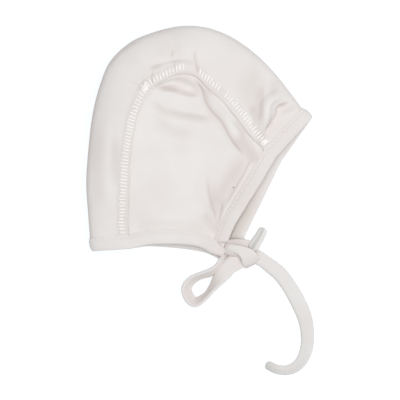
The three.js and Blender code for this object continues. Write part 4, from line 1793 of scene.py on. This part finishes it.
# Loop, from the knot round and back to it.
LOOP_ROWS = (
    TieRow(19.0, -74.8, 2.4, -50, 8),
    TieRow(16.0, -79.2, 1.8, -54, 8.2),
    TieRow(12.6, -84.0, 1.4, -58, 9.2),
    TieRow(7.0, -87.2, 0.8, -62, 10),
    TieRow(1.2, -89.0, 0.3, -66, 10),
    TieRow(-4.7, -92.3, 0, -58, 10),
    TieRow(-7.8, -97.5, 0, -52, 10),
    TieRow(-5.6, -103.9, 0, -50, 10),
    TieRow(-1.6, -106.3, 0, -56, 10),
    TieRow(4.7, -102.4, 0.2, -70, 10),
    TieRow(8.8, -97.4, 0.8, -66, 10),
    TieRow(11.9, -93.1, 2.2, -48, 10.2),
    TieRow(16.3, -87.6, 4.0, -20, 10.4),
    TieRow(21.2, -82.0, 5.4, -4, 11.0),
    TieRow(26.6, -78.2, 6.0, 0, 12.0),
    TieRow(30.2, -74.8, 6.0, 0, 11.0),
)
# Short free end, from the knot outwards.
STUB_ROWS = (
    TieRow(35.2, -71.6, 6.0, 16, 7.6),
    TieRow(37.8, -67.4, 6.2, 18, 7.4),
    TieRow(40.8, -62.6, 6.0, 22, 6.8),
    TieRow(43.4, -57.2, 5.8, 26, 6.0),
)
# Broad wrap across the knot.
WRAP_ROWS = (
    TieRow(16.8, -69.0, 5.0, 0, 4.0),
    TieRow(19.4, -69.8, 8.0, 0, 4.8),
    TieRow(24.4, -70.9, 10.2, 0, 5.4),
    TieRow(28.8, -72.6, 11.0, 0, 7.2),
    TieRow(32.4, -75.4, 10.6, 0, 10.4),
    TieRow(34.6, -78.7, 8.4, 0, 12.0),
    TieRow(35.5, -80.5, 5.4, 0, 12.2),
    TieRow(35.9, -81.3, 1.6, 0, 12.0),
)
# Band along the top of the knot.
BAND_ROWS = (
    TieRow(17.0, -68.4, 4.0, 12, 4.4),
    TieRow(20.0, -67.6, 6.2, 14, 5.4),
    TieRow(26.4, -67.2, 7.6, 16, 6.0),
    TieRow(32.0, -68.0, 7.4, 16, 6.0),
    TieRow(36.0, -70.2, 5.8, 14, 5.4),
)


@dataclass
class TieBand:
    """Length of folded tape swept along a table of places, round at both ends."""

    name: str
    rows: Sequence[TieRow]
    thick: float = 2.6
    spacing: float = 0.8
    sides: int = 32
    clear: float = 0.05
    corner_power: float = 0.6
    face_share: float = 0.2
    end_round: float = 2.0
    end_shares: tuple[float, ...] = (0.15, 0.35, 0.65)
    groove_depth: float = 0.2
    groove_share: float = 0.34
    groove_half: float = 0.8
    trough: float = 0.0
    trough_half: float = 1.2
    # Painted shade along a line, over the left-hand side and near both ends, where the band turns from
    # the light or runs under another.
    line_at: float = 0.0
    line_half: float = 0.7
    line_shade: float = 0.0
    line_from: float = 0.0
    line_to: float = 1.0
    line_fade: float = 0.2
    left_shade: float = 0.0
    left_from: float = 0.0
    left_fade: float = 0.3
    left_reach: float = 0.3
    start_shade: float = 0.0
    start_reach: float = 7.0
    end_shade: float = 0.0
    end_reach: float = 6.0

    def section(self, width: float) -> Array:
        """Rounded flat section with a shallow groove of stitching along one edge of each face.

        Args:
            width: Width of the band in millimetres.

        Returns:
            Places across and up, once round the section.
        """
        turn = np.linspace(0.0, math.tau, self.sides + 1)
        across = np.sign(np.cos(turn)) * np.abs(np.cos(turn)) ** self.corner_power * width / 2
        up = np.sign(np.sin(turn)) * np.abs(np.sin(turn)) ** self.corner_power * self.thick / 2
        from_groove = (across - self.groove_share * width) / self.groove_half
        groove = self.groove_depth * np.exp(-(from_groove**2))
        channel = self.trough * np.exp(-((across / self.trough_half) ** 2))
        on_face = np.abs(np.sin(turn)) > self.face_share
        return np.stack((across, up - channel - np.sign(np.sin(turn)) * groove * on_face), axis=1)

    def shade(self, line: Array) -> Array:
        """Painted shade of the rings, along one line, over the left-hand side and at the ends.

        Args:
            line: Middle line of the band.

        Returns:
            The shares of painted shade for each ring and place round it.
        """
        width = self.rows[0].width
        across = self.section(width)[:, 0] / width
        from_line = (across - self.line_at) * width / self.line_half
        along_line = self.line_shade * np.exp(-(from_line**2))
        on_left = self.left_shade * smooth(across / self.left_reach)
        travelled = travelled_along(line)
        share = travelled / travelled[-1]
        begun = smooth(1.0 + (share - self.line_from) / self.line_fade)
        ended = smooth((share - self.line_to) / self.line_fade)
        line_part = begun - ended
        left_part = smooth(1.0 + (share - self.left_from) / self.left_fade)
        from_start = np.linalg.norm(line - line[0], axis=1)
        start = self.start_shade * smooth(1.0 - from_start / self.start_reach)
        end = self.end_shade * smooth(1.0 - (travelled[-1] - travelled) / self.end_reach)
        return np.outer(line_part, along_line) + np.outer(left_part, on_left) + (start + end)[:, None]

    def sweep(self) -> tuple[Array, Array]:
        """Sweeps the section along the table of places.

        Returns:
            The rings of the band and its middle line.
        """
        leans = np.radians([row.lean for row in self.rows])
        sections = [self.section(row.width) for row in self.rows]
        resting = [
            np.max(np.abs(section[:, 0] * math.sin(lean)) + np.abs(section[:, 1] * math.cos(lean)))
            for section, lean in zip(sections, leans)
        ]
        table = [
            (row.x, row.y, row.lift + self.clear + rest, lean, row.width)
            for row, rest, lean in zip(self.rows, resting, leans)
        ]
        shares = spaced_shares(lambda at: spline(table, at)[:, :3], self.spacing)
        shares = self._with_round_ends(shares)
        swept = spline(table, shares)
        line = swept[:, :3]
        along = unit(np.gradient(line, shares, axis=0))
        level = unit(np.cross(UP, along))
        upright = np.cross(along, level)
        lean = swept[:, 3:4]
        across = level * np.cos(lean) + upright * np.sin(lean)
        up = np.cross(along, across)
        travelled = travelled_along(line)
        to_end = np.minimum(travelled, travelled[-1] - travelled)
        in_tip = 1.0 - np.minimum(to_end / self.end_round, 1.0)
        round_off = np.sqrt(np.clip(1.0 - in_tip**2, 0.0, 1.0))
        outlines = np.stack([self.section(width) for width in swept[:, 4]])
        outlines = outlines * round_off[:, None, None]
        rings = (
            line[:, None, :]
            + outlines[..., :1] * across[:, None, :]
            + outlines[..., 1:] * up[:, None, :]
        )
        return rings, line

    def _with_round_ends(self, shares: Array) -> Array:
        """Adds close rings near both ends for the rounding.

        Args:
            shares: Places along the band.

        Returns:
            The same places and the new ones, in order.
        """
        fine = np.array(self.end_shares)
        first = shares[0] + (shares[1] - shares[0]) * fine
        last = shares[-1] - (shares[-1] - shares[-2]) * fine
        return np.sort(np.concatenate((shares, first, last)))

    def build(self) -> tuple[bpy.types.Object, Array]:
        """Builds the band.

        Returns:
            The closed mesh and its middle line in metres of the frame.
        """
        rings, line = self.sweep()
        length = float(travelled_along(line)[-1])
        girth = 2.0 * (max(row.width for row in self.rows) + self.thick)
        piece = cloth_grid(self.name, rings, (girth, length), self.shade(line))
        weld(piece)
        return piece, (line - PLAN_MIDDLE) * MM


@dataclass
class Ties:
    """The knot under the chin with its loop, its short end and its long tail."""

    core_place: tuple[float, float, float] = (26.2, -72.0, 7.0)
    core_radii: tuple[float, float, float] = (10.2, 4.7, 4.4)
    core_segments: int = 40
    core_rings: int = 24
    # Painted shade on the core, which shows only in the hollow between the wrap and the loop.
    core_shade: float = 0.2
    knot_thick: float = 2.2
    cord_width: float = 0.010

    def build(self) -> list[bpy.types.Object]:
        """Returns:
            The tail, the loop, the short end and the knot.
        """
        inner_material = TAPE.material()
        end_material = TIE_TAPE.material()
        # Painted shade on the tail's inner edge, its outer side near the tip and its ends; on the loop's
        # crease near the knot; in the stub's fold.
        tail, tail_line = TieBand(
            "tie_tail_tape",
            TAIL_ROWS,
            line_at=-0.46,
            line_shade=0.3,
            line_to=0.6,
            left_shade=0.26,
            left_from=0.92,
            start_shade=0.3,
            end_shade=0.3,
            end_reach=13.0,
        ).build()
        loop, loop_line = TieBand(
            "tie_loop_tape",
            LOOP_ROWS,
            line_at=0.44,
            line_shade=0.45,
            line_from=0.7,
            start_shade=0.4,
        ).build()
        stub, _ = TieBand(
            "tie_stub_tape",
            STUB_ROWS,
            groove_depth=0.0,
            trough=1.8,
            trough_half=1.5,
            line_shade=0.7,
            left_shade=0.22,
            start_shade=0.1,
        ).build()
        knot = self._knot()
        dress(tail, end_material, Slot.TAPE, "tie_tail")
        dress(loop, inner_material, Slot.TAPE, "tie_loop")
        dress(stub, end_material, Slot.TAPE, "tie_stub")
        dress(knot, inner_material, Slot.TAPE, "tie_knot")
        return [tail, loop, stub, knot]

    def _knot(self) -> bpy.types.Object:
        """Joins the soft core, the broad wrap across it and the band along its top.

        Returns:
            The knot as one piece.
        """
        bpy.ops.object.select_all(action="DESELECT")
        middle = (np.array(self.core_place) - PLAN_MIDDLE) * MM
        bpy.ops.mesh.primitive_uv_sphere_add(
            segments=self.core_segments, ring_count=self.core_rings, radius=1.0
        )
        core = bpy.context.object
        places = np.empty(3 * len(core.data.vertices))
        core.data.vertices.foreach_get("co", places)
        shaped = places.reshape(-1, 3) * np.array(self.core_radii) * MM + middle
        core.data.vertices.foreach_set("co", shaped.ravel())
        # Painted shade over the whole core.
        store_painted_shade(core, np.full(len(shaped), self.core_shade))
        bpy.ops.object.shade_smooth()
        # Painted shade at the ends of the wrap and the band, where they run into the knot.
        wrap, _ = TieBand(
            "knot_wrap",
            WRAP_ROWS,
            thick=self.knot_thick,
            groove_depth=0.0,
            start_shade=0.5,
            end_shade=0.6,
        ).build()
        band, _ = TieBand(
            "knot_band",
            BAND_ROWS,
            thick=self.knot_thick,
            groove_depth=0.0,
            start_shade=0.5,
            start_reach=24.0,
        ).build()
        return join_pieces((wrap, band, core), "tie_knot_tape")


@dataclass
class Studio:
    """White table, a soft light overhead, a little to the right, and the camera straight above."""

    view_middle: tuple[float, float] = (0.0008, -0.0377)
    view_width: float = 0.264
    view_level: float = 0.010
    camera_height: float = 2.2
    sensor: float = 36.0
    key_place: tuple[float, float, float] = (0.25, -0.03, 1.5)
    key_size: float = 1.4
    key_power: float = 18.2
    sky: float = 0.42
    light_colour: Colour = (0.95, 0.982, 1.015)
    floor_size: float = 6.0
    floor_level: float = -0.0003
    floor_roughness: float = 0.9
    floor_colour: Colour = (0.2, 0.2, 0.2)
    floor_glow: float = 0.86

    def build(self) -> None:
        """Builds the table, the lights and the camera."""
        self._table()
        self._light()
        self._camera()

    def _table(self) -> None:
        """White table, a little luminous as a light table is."""
        bpy.ops.object.select_all(action="DESELECT")
        bpy.ops.mesh.primitive_plane_add(size=self.floor_size, location=(0.0, 0.0, self.floor_level))
        table = bpy.context.object
        table.name = "table"
        nodes = MaterialNodes("table_white")
        shader = nodes.shader(self.floor_roughness, 0.0)
        shader.inputs["Base Color"].default_value = (*self.floor_colour, 1.0)
        shader.inputs["Emission Color"].default_value = (*self.light_colour, 1.0)
        shader.inputs["Emission Strength"].default_value = self.floor_glow
        table.data.materials.append(nodes.material)

    def _light(self) -> None:
        """Even sky and one large soft light."""
        scene = bpy.context.scene
        scene.view_settings.view_transform = "Standard"
        world = bpy.data.worlds.new("studio_sky")
        world.use_nodes = True
        background = world.node_tree.nodes["Background"]
        background.inputs["Color"].default_value = (*self.light_colour, 1.0)
        background.inputs["Strength"].default_value = self.sky
        scene.world = world
        bpy.ops.object.light_add(type="AREA", location=self.key_place)
        key = bpy.context.object
        key.name = "key_light"
        key.data.shape = "DISK"
        key.data.size = self.key_size
        key.data.color = self.light_colour
        key.data.energy = self.key_power
        # A light of no turn shines straight down.
        aim = np.array((*self.view_middle, 0.0)) - np.array(self.key_place)
        level = math.hypot(aim[0], aim[1])
        key.rotation_euler = (math.atan2(level, -aim[2]), 0.0, math.atan2(aim[1], aim[0]) - math.pi / 2)

    def _camera(self) -> None:
        """Camera looking straight down with the crown at the top of the picture."""
        distance = self.camera_height - self.view_level
        place = (*self.view_middle, self.camera_height)
        bpy.ops.object.camera_add(location=place, rotation=(0.0, 0.0, 0.0))
        camera = bpy.context.object
        camera.name = "camera"
        camera.data.sensor_width = self.sensor
        camera.data.lens = self.sensor * distance / self.view_width
        bpy.context.scene.camera = camera


def main() -> None:
    """Builds the cap piece by piece."""
    logging.basicConfig(level=logging.INFO, format="%(name)s: %(message)s")
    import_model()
    Studio().build()
    ties = Ties().build()
    crown = CrownPanel()
    crown_piece = crown.build()
    upper_piece = UpperSidePanel().build()
    lower_piece = LowerSidePanel().build()
    bindings = Bindings()
    tapes = bindings.build()
    ladders = LadderSeam(crown).build()
    stitches = Topstitching().build(bindings)
    LOG.info("%d tie pieces", len(ties))


if __name__ == "__main__":
    main()
